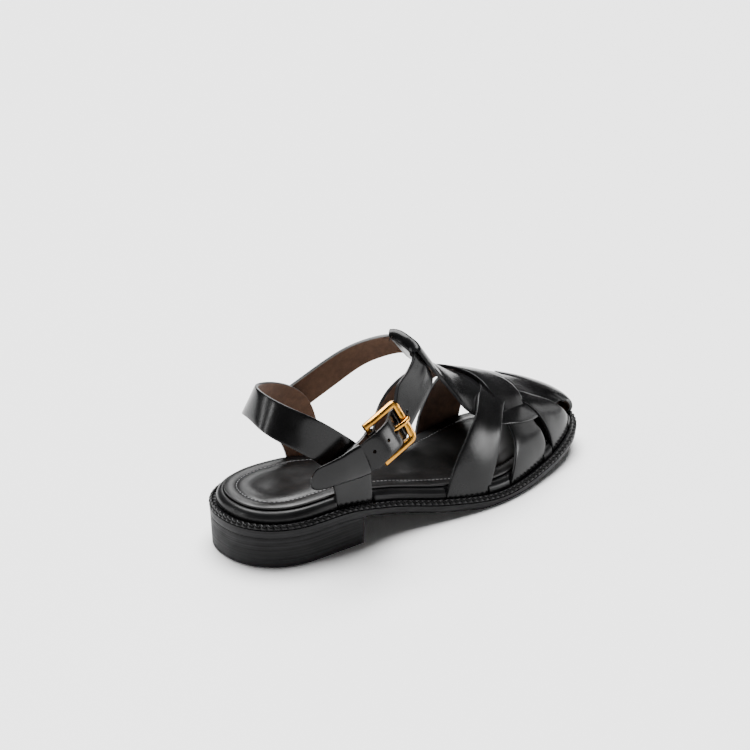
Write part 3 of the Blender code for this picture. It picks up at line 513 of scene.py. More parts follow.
# Section of the roll round the rand: share of its breadth, height, and how deep its waist ridges cut
ROLL_SECTION = [
    ("share", "height", "ridge"),
    (0.02, -0.0011, 0.0),
    (-0.05, 0.0002, 0.0),
    (-0.06, 0.0012, 0.1),
    (-0.04, 0.0018, 0.4),
    (-0.03, 0.0021, 1.0),
    (-0.01, 0.0024, 0.4),
    (0.04, 0.0031, 0.1),
    (0.09, 0.0036, 0.4),
    (0.12, 0.0038, 1.0),
    (0.17, 0.0041, 0.4),
    (0.32, 0.0048, 0.0),
    (0.52, 0.0053, 0.0),
    (0.75, 0.0055, 0.0),
    (0.92, 0.0053, 0.0),
    (1.00, 0.0047, 0.0),
    (1.00, -0.0011, 0.0),
]

# The rand: play behind the straps, core inside it, and reach of its roll
RAND_PLAY = 0.0004
CORE_SECTION = [
    ("inset", "height"),
    (0.0019, -WELT_HEIGHT + CLEARANCE),
    (0.0018, 0.0020),
    (0.0020, RAND_HEIGHT),
]
ROLL_OUTER = 0.0002
ROLL_INNER = 0.0017

# Soft crease that the loop pinches into the ankle strap: depth, place and breadth as shares, and rows
CREASE_DEPTH = 0.0007
CREASE_MIDDLE = 0.55
CREASE_BREADTH = 0.14
CREASE_ROWS = 13

# The free roll runs up to each strap's foot: shares of the length
PRESS_MARGIN = 0.0006
PRESS_RAMP = 0.002
# Ridges that the waist cuts into the roll, and where they lie
RIDGE_CUT = 0.00022
RIDGE_MIDDLE = 0.42
RIDGE_REACH = 0.10

# The view: where the camera stands and how it is turned, fitted to the sole's outline
CAMERA_PLACE = (-0.6686, -1.0336, 0.664)
CAMERA_TURN = -36.905
CAMERA_DROP = 24.215
CAMERA_LENS = 118.98
CAMERA_SENSOR = 36.0

# The stage: floor, broad overhead light, faint glow all round, and soft boxes that face the shoe
FLOOR_SIZE = 14.0
FLOOR_DROP = 0.0002
FLOOR_TONE = 0.95
SUN_TURN = (22, 0, 150)
SUN_SPREAD = 50
SUN_POWER = 11.0
STUDIO_GLOW = 0.05
LIGHT_AIM = (0.0, 0.0, 0.04)
SOFT_BOXES = [
    ("name", "place", "wide", "tall", "power"),
    ("low front", (1.1, -1.05, 0.14), 0.50, 0.22, 7.0),
    ("toe card", (1.9, -0.30, 0.36), 0.8, 0.40, 2.6),
    ("far side", (0.95, 1.65, 1.0), 0.5, 0.5, 4.5),
    ("heel strip", (-1.5, 1.1, 0.45), 0.16, 0.9, 7.0),
    ("outer strip", (-1.85, 0.48, 0.45), 0.16, 0.9, 9.0),
]


def columns(table):
    """Columns of a table by name, without its heading row."""
    return {name: [row[i] for row in table[1:]] for i, name in enumerate(table[0])}


def slopes(xs, ys):
    """Slopes of a curve that never overshoots its points."""
    steps = np.diff(xs)
    rises = np.diff(ys) / steps
    result = np.zeros(len(xs))
    for i in range(1, len(xs) - 1):
        if rises[i - 1] * rises[i] > 0:
            before = 2 * steps[i] + steps[i - 1]
            after = steps[i] + 2 * steps[i - 1]
            result[i] = (before + after) / (before / rises[i - 1] + after / rises[i])
    result[0] = rises[0]
    result[-1] = rises[-1]
    return result


def read_curve(xs, ys, x):
    """Smooth reading of a table at x, held level past its ends."""
    xs = np.asarray(xs, float)
    ys = np.asarray(ys, float)
    m = slopes(xs, ys)
    x = np.clip(x, xs[0], xs[-1])
    j = np.clip(np.searchsorted(xs, x, side="right") - 1, 0, len(xs) - 2)
    h = xs[j + 1] - xs[j]
    u = (x - xs[j]) / h
    start = (2 * u**3 - 3 * u**2 + 1) * ys[j] + (u**3 - 2 * u**2 + u) * h * m[j]
    return start + (3 * u**2 - 2 * u**3) * ys[j + 1] + (u**3 - u**2) * h * m[j + 1]


def smooth_rows(rows, count):
    """Rows of numbers, read off a smooth curve through them at even steps."""
    rows = np.asarray(rows, float)
    padded = np.concatenate([2 * rows[:1] - rows[1:2], rows, 2 * rows[-1:] - rows[-2:-1]])
    place_at = np.linspace(0, len(rows) - 1, count)
    j = np.clip(place_at.astype(int), 0, len(rows) - 2)
    u = (place_at - j).reshape((-1,) + (1,) * (rows.ndim - 1))
    p0, p1, p2, p3 = padded[j], padded[j + 1], padded[j + 2], padded[j + 3]
    cubic = (3 * p1 - 3 * p2 + p3 - p0) * u**3
    return 0.5 * (2 * p1 + (p2 - p0) * u + (2 * p0 - 5 * p1 + 4 * p2 - p3) * u**2 + cubic)


def smooth_loop(points, count):
    """Closed cubic curve through the points, read at even steps."""
    p = np.array(points, float)
    m = len(p)
    gap = np.linalg.norm(np.roll(p, -1, 0) - p, axis=1)
    reach = np.r_[0, np.cumsum(gap)]
    left = np.zeros((m, m))
    right = np.zeros((m, 2))
    for i in range(m):
        before, after = gap[i - 1], gap[i]
        left[i, (i - 1) % m] = 1 / before
        left[i, i] = 2 * (1 / before + 1 / after)
        left[i, (i + 1) % m] = 1 / after
        right[i] = 3 * ((p[i] - p[i - 1]) / before**2 + (p[(i + 1) % m] - p[i]) / after**2)
    k = np.linalg.solve(left, right)
    t = np.linspace(0, reach[-1], count, endpoint=False)
    j = np.clip(np.searchsorted(reach, t, side="right") - 1, 0, m - 1)
    u = ((t - reach[j]) / gap[j])[:, None]
    h = gap[j][:, None]
    n = (j + 1) % m
    start = (2 * u**3 - 3 * u**2 + 1) * p[j] + (u**3 - 2 * u**2 + u) * h * k[j]
    return start + (3 * u**2 - 2 * u**3) * p[n] + (u**3 - u**2) * h * k[n]


def sole_curve():
    """Dense outline of the sole and its inward normals, from the heel by the outer side."""
    heel = [
        (HEEL_CURVE * (1 - math.cos(a)), HEEL_WIDTH / 2 * math.sin(a) ** HEEL_ROUNDING)
        for a in np.radians(HEEL_TURNS)
    ]
    points = [(0.0, 0.0)]
    points += [(x, -y) for x, y in heel]
    points += [(a * LENGTH, c * w) for a, c, w in LATERAL_OUTLINE[1:]]
    points += [(a * LENGTH, c * w) for a, c, w in MEDIAL_OUTLINE[1:]]
    points += heel[::-1]
    curve = smooth_loop(points, DENSE)
    run = np.roll(curve, -1, 0) - np.roll(curve, 1, 0)
    inward = np.stack([-run[:, 1], run[:, 0]], -1)
    return curve, inward / np.linalg.norm(inward, axis=1)[:, None]


RIM, INWARD = sole_curve()
SHIFT = np.array([*(-(RIM.min(axis=0) + RIM.max(axis=0)) / 2), 0.0])


def outline(inset):
    return RIM + INWARD * inset


def sides(inset):
    """Outer and inner half of an outline, each sorted from heel to toe."""
    curve = outline(inset)
    toe = int(np.argmax(curve[:, 0]))
    halves = (curve[: toe + 1], np.vstack([curve[toe:], curve[:1]]))
    return [half[np.argsort(half[:, 0])] for half in halves]


SEAT_SIDES = sides(STRAP_INSET)
SEAT_END = SEAT_SIDES[0][-1, 0]
LAST_CORE = np.array([0.72 * LENGTH, 0.0, 0.2 * INSTEP_HEIGHT])


def welt_top(x):
    table = columns(WELT_PROFILE)
    share = np.asarray(x) / LENGTH
    fall = read_curve(table["along"], table["drop"], share)
    rise = read_curve(table["along"], table["spring"], share)
    return HEEL_TOP - (HEEL_TOP - BALL_THICKNESS) * fall + TOE_SPRING * rise


def seat(x):
    """Foot of a strap's outer face, inside the welt."""
    return welt_top(x) - WELT_HEIGHT + CLEARANCE + STRAP_LEAN * LEATHER


def half_breadth(x, side):
    """Breadth from the middle line to the straps' feet on one side, held level round the heel."""
    half = SEAT_SIDES[1 if side > 0 else 0]
    return abs(np.interp(max(x, HEEL_HOLD), half[:, 0], half[:, 1]))


def on_last(along, girth):
    """Outer face of the straps over the forefoot."""
    table = columns(LAST)
    x = np.minimum(np.asarray(along, float) * LENGTH, SEAT_END)
    crown = read_curve(table["along"], table["height"], x / LENGTH) * INSTEP_HEIGHT
    middle = read_curve(table["along"], table["across"], x / LENGTH) * BALL_WIDTH
    power = read_curve(table["along"], table["fullness"], x / LENGTH)
    outer = np.interp(x, SEAT_SIDES[0][:, 0], SEAT_SIDES[0][:, 1])
    inner = np.interp(x, SEAT_SIDES[1][:, 0], SEAT_SIDES[1][:, 1])
    arch = np.maximum(np.sin(np.pi * np.asarray(girth, float)), 0)
    y = (outer + inner) / 2 - np.cos(np.pi * girth) * (inner - outer) / 2
    y = y + (middle - (outer + inner) / 2) * arch
    return np.stack([x, y, seat(x) + (crown - seat(x)) * arch**power], -1)


def normals(grid):
    """Unit normals of a grid of points, by its own two directions."""
    n = np.cross(np.gradient(grid, axis=0), np.gradient(grid, axis=1))
    return n / np.maximum(np.linalg.norm(n, axis=2), 1e-12)[:, :, None]


def facing(grid, away):
    """Grid with its normals pointing away from a point."""
    if np.sum(normals(grid) * (grid - away)) < 0:
        return grid[:, ::-1]
    return grid


def drape(table, rows, cols):
    """Grid of one woven strap on the last, rear edge to front edge along each row."""
    data = smooth_rows(table[1:], rows)
    lift = data[:, -1] * WEAVE_LIFT
    pairs = data[:, :-1].reshape(rows, -1, 2)
    if pairs.shape[1] == 2:
        share = np.linspace(0, 1, cols)[None, :, None]
        pairs = pairs[:, :1] * (1 - share) + pairs[:, 1:] * share
    grid = on_last(pairs[:, :, 0], np.clip(pairs[:, :, 1], 0, 1))
    if grid.shape[1] != cols:
        grid = np.array([smooth_rows(row, cols) for row in grid])
    grid = facing(grid, LAST_CORE)
    return grid + normals(grid) * lift[:, None, None]


def toe_foot(cols):
    """Points along the seat, from the inner side round the tip of the toe to the outer side."""
    curve = outline(STRAP_INSET)
    tip = int(np.argmax(curve[:, 0]))
    outer, inner = curve[: tip + 1], curve[tip:]
    outer = outer[outer[:, 0] > TOE_FOOT[1] * LENGTH]
    inner = inner[inner[:, 0] > TOE_FOOT[0] * LENGTH]
    line = np.vstack([outer, inner])[::-1]
    reach = np.r_[0, np.cumsum(np.linalg.norm(np.diff(line, axis=0), axis=1))]
    at = np.linspace(0, reach[-1], cols)
    x, y = (np.interp(at, reach, line[:, k]) for k in (0, 1))
    return np.stack([x, y, seat(x)], -1)


def toe_strap(rows, cols):
    """Inner toe strap: over the weave on the last, then down the wall of the toe to its foot."""
    top = drape(TOE_INNER, rows, cols)
    foot = toe_foot(cols)
    if np.dot(top[-1, 0] - top[-1, -1], foot[0] - foot[-1]) < 0:
        foot = foot[::-1]
    tangent = np.gradient(foot, axis=0)
    outward = np.stack([tangent[:, 1], -tangent[:, 0], np.zeros(cols)], -1)
    outward /= np.linalg.norm(outward, axis=1)[:, None]
    outward *= math.copysign(1.0, outward[cols // 2, 0])
    towards_outer = np.linspace(0, 1, cols)
    if foot[0, 1] <= foot[-1, 1]:
        towards_outer = towards_outer[::-1]
    reach = (TOE_BULGE_INNER + (1 - TOE_BULGE_INNER) * towards_outer)[:, None]
    wall = []
    for turn in np.linspace(math.pi / 2, 0, rows // 2)[1:]:
        level = math.sin(turn) ** TOE_FULLNESS
        inward = 1 - math.cos(turn)
        bulge = TOE_BULGE * math.cos(turn) * (1 - math.exp(-turn / TOE_BULGE_START))
        wall.append(foot + (top[-1] - foot) * np.array([inward, inward, level]) + outward * bulge * reach)
    return np.concatenate([top, wall])


def place(along, across, up):
    """Point given as shares: of the length, of the half breadth and of the height above the seat."""
    x = along * LENGTH
    base = float(seat(x))
    return np.array([x, across * half_breadth(x, across), base + up * (INSTEP_HEIGHT - base)])


def band_edges(table, count):
    rows = smooth_rows(table[1:], count)
    low = np.array([place(*row[:3]) for row in rows])
    top = np.array([place(*row[3:6]) for row in rows])
    return low, top


def band_grid(low, top, cols):
    share = np.linspace(0, 1, cols)[None, :, None]
    return low[:, None, :] * (1 - share) + top[:, None, :] * share


def buckle_frame_axes():
    along = np.array(BUCKLE_ALONG) / np.linalg.norm(BUCKLE_ALONG)
    across = np.cross(np.array(BUCKLE_OUT), along)
    across /= np.linalg.norm(across)
    return place(*BUCKLE_PLACE), along, across, np.cross(along, across)


def at_buckle(u, v, w):
    centre, along, across, out = buckle_frame_axes()
    return centre + along * u + across * v + out * w


def ease(rows, passes):
    """Rows with their small kinks averaged out; the ends stay."""
    rows = np.array(rows)
    for _ in range(passes):
        rows[1:-1] = (rows[:-2] + 2 * rows[1:-1] + rows[2:]) / 4
    return rows


def ankle_grid(cols):
    """Outer face of the ankle strap from its tab, through the buckle, to its tip in the cover."""
    low, top = (ease(rows, ANKLE_EASE) for rows in band_edges(ANKLE_BAND, ANKLE_ROWS))
    half = np.linalg.norm(low[ANKLE_ROWS // 2] - top[ANKLE_ROWS // 2]) / 2
    tail_low, tail_top = [low[-1]], [top[-1]]
    for share, out in STRAP_THROUGH[1:]:
        tail_low.append(at_buckle(share * BUCKLE_LENGTH, -half, out * BUCKLE_BAR))
        tail_top.append(at_buckle(share * BUCKLE_LENGTH, half, out * BUCKLE_BAR))
    for row in STRAP_TIP[1:]:
        tail_low.append(place(*row[:3]))
        tail_top.append(place(*row[3:]))
    low = ease(np.vstack([low[:-1], smooth_rows(tail_low, TAIL_ROWS)]), TAIL_EASE)
    top = ease(np.vstack([top[:-1], smooth_rows(tail_top, TAIL_ROWS)]), TAIL_EASE)
    inside = np.array([0.3 * LENGTH, 0, 0.5 * INSTEP_HEIGHT])
    return facing(band_grid(low, top, cols), inside)


def pinch(grid):
    """Ankle strap with a soft lengthwise ridge that fades out below the loop."""
    rows, cols = grid.shape[:2]
    below_loop = int(np.argmin(np.abs(grid[:, cols // 2, 1] - LOOP_SHIFT + LOOP_WIDTH / 2)))
    along = np.exp(-(((np.arange(rows) - below_loop) / CREASE_ROWS) ** 2))
    across = np.exp(-(((np.linspace(0, 1, cols) - CREASE_MIDDLE) / CREASE_BREADTH) ** 2))
    return grid + normals(grid) * (CREASE_DEPTH * along[:, None] * across[None, :])[:, :, None]


def fold_path():
    """Course of the instep loop round the ankle strap: along the strap's width, and off its face."""
    above = LOOP_PLAY + LEATHER
    below = -LEATHER - LOOP_PLAY - LEATHER
    centre = (above + below) / 2
    reach = LEATHER + LOOP_PLAY
    path = [(share, 0.0, above) for share in FOLD_ABOVE]
    for a in np.radians(np.linspace(90, 270, FOLD_STEPS)[1:-1]):
        path.append((0.0, reach * math.cos(a), centre + (above - centre) * math.sin(a)))
    return path + [(share, 0.0, below) for share in FOLD_BELOW]


def loop_rows(cols):
    """Rows of the loop, each column set off the ankle strap where it crosses that strap."""
    low, top = band_edges(ANKLE_BAND, LOOP_SAMPLES)
    middle = (low + top) / 2
    columns_y = LOOP_SHIFT + LOOP_WIDTH * np.linspace(-0.5, 0.5, cols)
    picks = [int(np.argmin(abs(middle[:, 1] - y))) for y in columns_y]
    rows = []
    for share, extra, off in fold_path():
        row = []
        for k in picks:
            run = low[k] - top[k]
            out = np.cross(run, middle[k + 2] - middle[k - 2])
            out *= math.copysign(1.0, out[2]) / np.linalg.norm(out)
            row.append(top[k] + run * (share + extra / np.linalg.norm(run)) + out * off)
        rows.append(row)
    return np.array(rows)


def instep_strip(cols):
    """Instep bar and its loop as one strip, from the weave to the end under the ankle strap."""
    bar = drape(INSTEP_BAR, BAR_ROWS, cols)
    loop = loop_rows(cols)
    if bar[0, 0, 1] > bar[0, -1, 1]:
        loop = loop[:, ::-1]
    return smooth_rows(np.concatenate([bar, loop]), INSTEP_ROWS)


def deselect():
    for obj in bpy.context.selected_objects:
        obj.select_set(False)


def activate(obj):
    deselect()
    obj.select_set(True)
    bpy.context.view_layer.objects.active = obj


def add_piece(name, points, faces, materials, uv=None):
    """Mesh object in the frame's own place, given points in the last's frame."""
    mesh = bpy.data.meshes.new(name)
    mesh.from_pydata([tuple(p) for p in np.asarray(points) + SHIFT], [], faces)
    if uv is not None:
        layer = mesh.uv_layers.new(name="strap")
        for loop in mesh.loops:
            layer.data[loop.index].uv = uv[loop.vertex_index]
    obj = bpy.data.objects.new(name, mesh)
    bpy.context.scene.collection.objects.link(obj)
    for material in materials:
        mesh.materials.append(material)
    return obj


def apply_all(obj):
    activate(obj)
    for modifier in list(obj.modifiers):
        bpy.ops.object.modifier_apply(modifier=modifier.name)


def grid_faces(rows, cols, wrap=False):
    faces = []
    for i in range(rows if wrap else rows - 1):
        j = (i + 1) % rows
        for c in range(cols - 1):
            faces.append((i * cols + c, j * cols + c, j * cols + c + 1, i * cols + c + 1))
    return faces


def grid_uv(grid):
    along = np.cumsum(np.r_[0, np.linalg.norm(np.diff(grid[:, grid.shape[1] // 2], axis=0), axis=1)])
    across = np.linalg.norm(grid - grid[:, :1], axis=2)
    return np.stack([np.broadcast_to(along[:, None], across.shape), across], -1).reshape(-1, 2)


def recalculate(obj):
    activate(obj)
    bpy.ops.object.mode_set(mode="EDIT")
    bpy.ops.mesh.select_all(action="SELECT")
    bpy.ops.mesh.normals_make_consistent(inside=False)
    bpy.ops.object.mode_set(mode="OBJECT")


def finish_solid(obj, degrees):
    """Gives a closed piece outward faces, smooth shading below an angle, and its place on the shoe."""
    recalculate(obj)
    bpy.ops.object.shade_smooth_by_angle(angle=math.radians(degrees))
    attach(obj, BODY)
    return obj


def ring_piece(name, rows, material, degrees):
    """Closed ring round the sole, given the points of its section at each step."""
    grid = np.array(rows)
    count, cols = grid.shape[:2]
    faces = grid_faces(count, cols, wrap=True)
    for i in range(count):
        j = (i + 1) % count
        faces.append((i * cols + cols - 1, j * cols + cols - 1, j * cols, i * cols))
    return finish_solid(add_piece(name, grid.reshape(-1, 3), faces, [material]), degrees)


def strap_piece(name, grid, thickness, cup=EDGE_CUP):
    """Leather strap behind its outer face, with rolled edges, a lining inside and rims of black edge paint
    lightened as a painted highlight.
    """
    cols = grid.shape[1]
    edge = np.abs(np.linspace(-1, 1, cols)) ** EDGE_POWER
    grid = grid - normals(grid) * (edge * cup)[None, :, None]
    finish = [MATERIALS["leather"], MATERIALS["lining"], MATERIALS["edge"]]
    obj = add_piece(name, grid.reshape(-1, 3), grid_faces(*grid.shape[:2]), finish, grid_uv(grid))
    wall = obj.modifiers.new("wall", "SOLIDIFY")
    wall.thickness = thickness
    wall.offset = -1.0
    wall.material_offset = 1
    wall.material_offset_rim = 2
    rounding = obj.modifiers.new("rolled edge", "BEVEL")
    rounding.width = bpy.context.scene.sandal_sizes.edge_roll
    rounding.segments = 3
    rounding.limit_method = "ANGLE"
    rounding.angle_limit = math.radians(EDGE_ANGLE)
    apply_all(obj)
    bpy.ops.object.shade_smooth_by_angle(angle=math.radians(EDGE_ANGLE))
    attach(obj, BODY)
    return obj


def lathe_ring(name, rows, material):
    """Closed solid through rings round the sole: an inset, a height function and, if any, a let-out each."""
    half = RING_POINTS // 2 + 1
    turn = np.linspace(0, math.pi, half)
    rings = []
    for inset, height, *let_out in rows:
        loops = []
        for side, outwards in zip(sides(inset), (1.0, -1.0)):
            x = side[0, 0] + (side[-1, 0] - side[0, 0]) * (1 - np.cos(turn)) / 2
            y = np.interp(x, side[:, 0], side[:, 1])
            if let_out:
                run = np.stack([np.gradient(x), np.gradient(y)])
                run /= np.linalg.norm(run, axis=0)
                reach = outwards * let_out[0](x)
                x, y = x + run[1] * reach, y - run[0] * reach
            loops.append(np.stack([x, y, height(x)], -1))
        rings.append(np.vstack([loops[0], loops[1][-2:0:-1]]))
    return solid_from_rings(name, rings, material, half)


def solid_from_rings(name, rings, material, half):
    """Closed solid through a stack of rings; half is the number of points on a ring's outer side."""
    ring = len(rings[0])
    points = np.vstack(rings)
    faces = []
    for level in range(len(rings) - 1):
        base = level * ring
        for i in range(ring):
            j = (i + 1) % ring
            faces.append((base + i, base + j, base + ring + j, base + ring + i))
    for base in (0, (len(rings) - 1) * ring):
        for i in range(half - 1):
            corners = [base + i, base + i + 1, base + ring - i - 1, base + (ring - i) % ring]
            faces.append(tuple(dict.fromkeys(corners)))
    return finish_solid(add_piece(name, points, faces, [material]), SOLID_ANGLE)


def sweep(name, path, aside, out, section, softness):
    """Solid brass bar with softened edges: a section of (aside, out) pairs carried along a path."""
    path, aside, out = (np.asarray(v, float) for v in (path, aside, out))
    rows = [[p + a * s + o * t for s, t in section] for p, a, o in zip(path, aside, out)]
    count = len(section)
    length = len(rows)
    faces = []
    for i in range(length - 1):
        for k in range(count):
            n = (k + 1) % count
            base = i * count
            faces.append((base + k, base + n, base + count + n, base + count + k))
    faces.append(tuple(range(count)))
    faces.append(tuple(range((length - 1) * count, length * count)))
    obj = add_piece(name, np.array(rows).reshape(-1, 3), faces, [MATERIALS["brass"]])
    recalculate(obj)
    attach(obj, BODY)
    rounding = obj.modifiers.new("soft edge", "BEVEL")
    rounding.width = softness
    rounding.segments = 3
    rounding.limit_method = "ANGLE"
    rounding.angle_limit = math.radians(BRASS_EDGE_ANGLE)
    apply_all(obj)
    bpy.ops.object.shade_smooth_by_angle(angle=math.radians(BRASS_ANGLE))
    return obj


def round_section(radius, count):
    turns = np.linspace(0, 2 * math.pi, count, endpoint=False)
    return [(radius * math.cos(a), radius * math.sin(a)) for a in turns]


def stitches(name, path, pitch, material):
    """Short thread stitches along a closed level path, half sunk in the leather."""
    path = np.vstack([path, path[:1]])
    reach = np.r_[0, np.cumsum(np.linalg.norm(np.diff(path, axis=0), axis=1))]
    count = int(round(reach[-1] / pitch))
    step = reach[-1] / count
    points, faces = [], []
    for k in range(count):
        middle = (k + 0.5) * step
        at = [np.interp(middle, reach, path[:, a]) for a in range(3)]
        ahead = np.array([np.interp(middle + STITCH_AHEAD, reach, path[:, a]) for a in range(3)]) - at
        ahead /= np.linalg.norm(ahead)
        top = np.array([0.0, 0.0, 1.0]) - ahead * ahead[2]
        top /= np.linalg.norm(top)
        aside = np.cross(ahead, top)
        base = len(points)
        for run, thick in STITCH_PROFILE[1:]:
            for a in np.linspace(0, 2 * math.pi, STITCH_SIDES, endpoint=False):
                ring = aside * math.cos(a) * STITCH_BREADTH + top * math.sin(a)
                points.append(at + ahead * run * step * STITCH_SHARE + ring * STITCH_THICKNESS * thick)
        last = len(points) - STITCH_SIDES
        for start in range(base, last, STITCH_SIDES):
            for j in range(STITCH_SIDES):
                a, b = start + j, start + (j + 1) % STITCH_SIDES
                faces.append((a, b, b + STITCH_SIDES, a + STITCH_SIDES))
        faces.append(tuple(base + j for j in range(STITCH_SIDES)))
        faces.append(tuple(last + j for j in range(STITCH_SIDES)))
    return finish_solid(add_piece(name, points, faces, [material]), THREAD_ANGLE)


def new_material(name, color, roughness, metallic=0.0):
    material = bpy.data.materials.new(name)
    material.use_nodes = True
    shader = material.node_tree.nodes["Principled BSDF"]
    shader.inputs["Base Color"].default_value = (*color, 1.0)
    shader.inputs["Roughness"].default_value = roughness
    shader.inputs["Metallic"].default_value = metallic
    return material, material.node_tree, shader


def noise(tree, scale, detail=3.0, stretch=None, roughness=0.5):
    """Noise in the object's own place, stretched along an axis if asked."""
    coords = tree.nodes.new("ShaderNodeTexCoord")
    texture = tree.nodes.new("ShaderNodeTexNoise")
    texture.inputs["Scale"].default_value = scale
    texture.inputs["Detail"].default_value = detail
    texture.inputs["Roughness"].default_value = roughness
    source = coords.outputs["Object"]
    if stretch:
        mapping = tree.nodes.new("ShaderNodeMapping")
        mapping.inputs["Scale"].default_value = stretch
        tree.links.new(source, mapping.inputs["Vector"])
        source = mapping.outputs["Vector"]
    tree.links.new(source, texture.inputs["Vector"])
    return texture.outputs["Fac"]


def bump(tree, height, distance, strength, under=None):
    node = tree.nodes.new("ShaderNodeBump")
    node.inputs["Distance"].default_value = distance
    node.inputs["Strength"].default_value = strength
    tree.links.new(height, node.inputs["Height"])
    if under:
        tree.links.new(under, node.inputs["Normal"])
    return node.outputs["Normal"]


def remap(tree, value, low, high, start=0.3, end=0.7):
    node = tree.nodes.new("ShaderNodeMapRange")
    node.inputs["From Min"].default_value = start
    node.inputs["From Max"].default_value = end
    node.inputs["To Min"].default_value = low
    node.inputs["To Max"].default_value = high
    tree.links.new(value, node.inputs["Value"])
    return node.outputs["Result"]


def two_tone(tree, value, dark, light, start=0.35, end=0.65):
    node = tree.nodes.new("ShaderNodeValToRGB")
    node.color_ramp.elements[0].position = start
    node.color_ramp.elements[0].color = (*dark, 1.0)
    node.color_ramp.elements[1].position = end
    node.color_ramp.elements[1].color = (*light, 1.0)
    tree.links.new(value, node.inputs["Fac"])
    return node.outputs["Color"]


def box_leather(name, color, low, high, grain=0.35, sway=0.35, shine=0.17):
    """Glazed smooth leather: soft unevenness, faint pores and a patchy gloss."""
    material, tree, shader = new_material(name, color, (low + high) / 2)
    broad = bump(tree, noise(tree, 42.0, 1.5), 0.0012, sway)
    pores = bump(tree, noise(tree, 2600.0, 4.0), 0.00004, grain, broad)
    tree.links.new(pores, shader.inputs["Normal"])
    tree.links.new(remap(tree, noise(tree, 90.0, 4.0), low, high), shader.inputs["Roughness"])
    tint = two_tone(tree, noise(tree, 60.0, 3.0), color, tuple(c * 1.35 + 0.002 for c in color))
    tree.links.new(tint, shader.inputs["Base Color"])
    shader.inputs["Coat Weight"].default_value = 0.04
    shader.inputs["Coat Roughness"].default_value = 0.16
    shader.inputs["Specular IOR Level"].default_value = shine
    return material


def suede(name, dark, light):
    """Brown lining with a short nap."""
    material, tree, shader = new_material(name, dark, 0.85)
    nap = noise(tree, 1500.0, 5.0, roughness=0.7)
    tree.links.new(bump(tree, nap, 0.00012, 0.5), shader.inputs["Normal"])
    patches = noise(tree, 260.0, 5.0, roughness=0.7)
    tree.links.new(two_tone(tree, patches, dark, light), shader.inputs["Base Color"])
    shader.inputs["Sheen Weight"].default_value = 0.25
    shader.inputs["Specular IOR Level"].default_value = 0.25
    return material


def moulded_rubber(name, color, low, high, streak):
    """Black rubber with fine level streaks."""
    material, tree, shader = new_material(name, color, (low + high) / 2)
    layers = noise(tree, 1.0, 3.0, stretch=(14.0, 14.0, 900.0))
    lined = bump(tree, layers, 0.0004, streak)
    grit = bump(tree, noise(tree, 1800.0, 3.0), 0.00005, 0.4, lined)
    tree.links.new(grit, shader.inputs["Normal"])
    tree.links.new(remap(tree, noise(tree, 120.0, 4.0), low, high), shader.inputs["Roughness"])
    tint = two_tone(tree, layers, tuple(c * 0.5 for c in color), tuple(c * 2.2 for c in color))
    tree.links.new(tint, shader.inputs["Base Color"])
    shader.inputs["Specular IOR Level"].default_value = 0.14
    return material


def brass(name, color):
    material, tree, shader = new_material(name, color, 0.14, 1.0)
    tree.links.new(bump(tree, noise(tree, 500.0, 3.0), 0.00005, 0.25), shader.inputs["Normal"])
    tree.links.new(remap(tree, noise(tree, 300.0, 4.0), 0.10, 0.22), shader.inputs["Roughness"])
    return material


MATERIALS = {}


def make_materials(look):
    """All finishes, by plain names, from the colours of the settings."""
    black = tuple(look.leather_color)
    MATERIALS["leather"] = box_leather("glazed black leather", black, look.gloss_low, look.gloss_high)
    # Rims: black edge paint made three times lighter than the leather, a painted highlight along the strap
    # edges.
    edge = tuple(c * 3.0 for c in black)
    MATERIALS["edge"] = box_leather("edge paint with painted highlight", edge, 0.28, 0.40, grain=0.3, sway=0.1, shine=0.3)
    MATERIALS["lining"] = suede("brown lining", tuple(look.lining_dark), tuple(look.lining_light))
    MATERIALS["footbed"] = box_leather("footbed leather", black, 0.30, 0.42, grain=0.5, sway=0.2, shine=0.26)
    MATERIALS["rand"] = box_leather("rand leather", black, 0.30, 0.40, grain=0.3, sway=0.1, shine=0.14)
    MATERIALS["sole"] = moulded_rubber("sole rubber", tuple(look.rubber_color), 0.42, 0.55, streak=0.12)
    MATERIALS["heel"] = moulded_rubber("heel rubber", tuple(look.rubber_color), 0.50, 0.66, streak=0.9)
    MATERIALS["welt"] = box_leather("welt rope", black, 0.26, 0.38, grain=0.3, sway=0.1, shine=0.14)
    # Thread: dark thread lightened to grey, a painted highlight on the stitches.
    MATERIALS["thread"] = new_material("dark thread with painted highlight", (0.16, 0.16, 0.165), 0.5)[0]
    MATERIALS["brass"] = brass("polished brass", tuple(look.brass_color))


class SandalLook(bpy.types.PropertyGroup):
    """Colours and gloss that a user would change."""

    leather_color: bpy.props.FloatVectorProperty(
        name="Leather",
        description="Colour of the upper leather",
        subtype="COLOR",
        default=(0.0030, 0.0030, 0.0032),
    )
    lining_dark: bpy.props.FloatVectorProperty(
        name="Lining, dark",
        description="Darker tone of the lining",
        subtype="COLOR",
        default=(0.086, 0.043, 0.024),
    )
    lining_light: bpy.props.FloatVectorProperty(
        name="Lining, light",
        description="Lighter tone of the lining",
        subtype="COLOR",
        default=(0.130, 0.066, 0.037),
    )
    rubber_color: bpy.props.FloatVectorProperty(
        name="Rubber",
        description="Colour of sole and heel",
        subtype="COLOR",
        default=(0.0055, 0.0055, 0.0059),
    )
    brass_color: bpy.props.FloatVectorProperty(
        name="Brass",
        description="Colour of the buckle",
        subtype="COLOR",
        default=(0.44, 0.21, 0.035),
    )
    gloss_low: bpy.props.FloatProperty(
        name="Gloss, smoothest",
        description="Roughness of the glossiest leather",
        default=0.17,
        min=0.0,
        max=1.0,
    )
    gloss_high: bpy.props.FloatProperty(
        name="Gloss, dullest",
        description="Roughness of the dullest leather",
        default=0.27,
        min=0.0,
        max=1.0,
    )


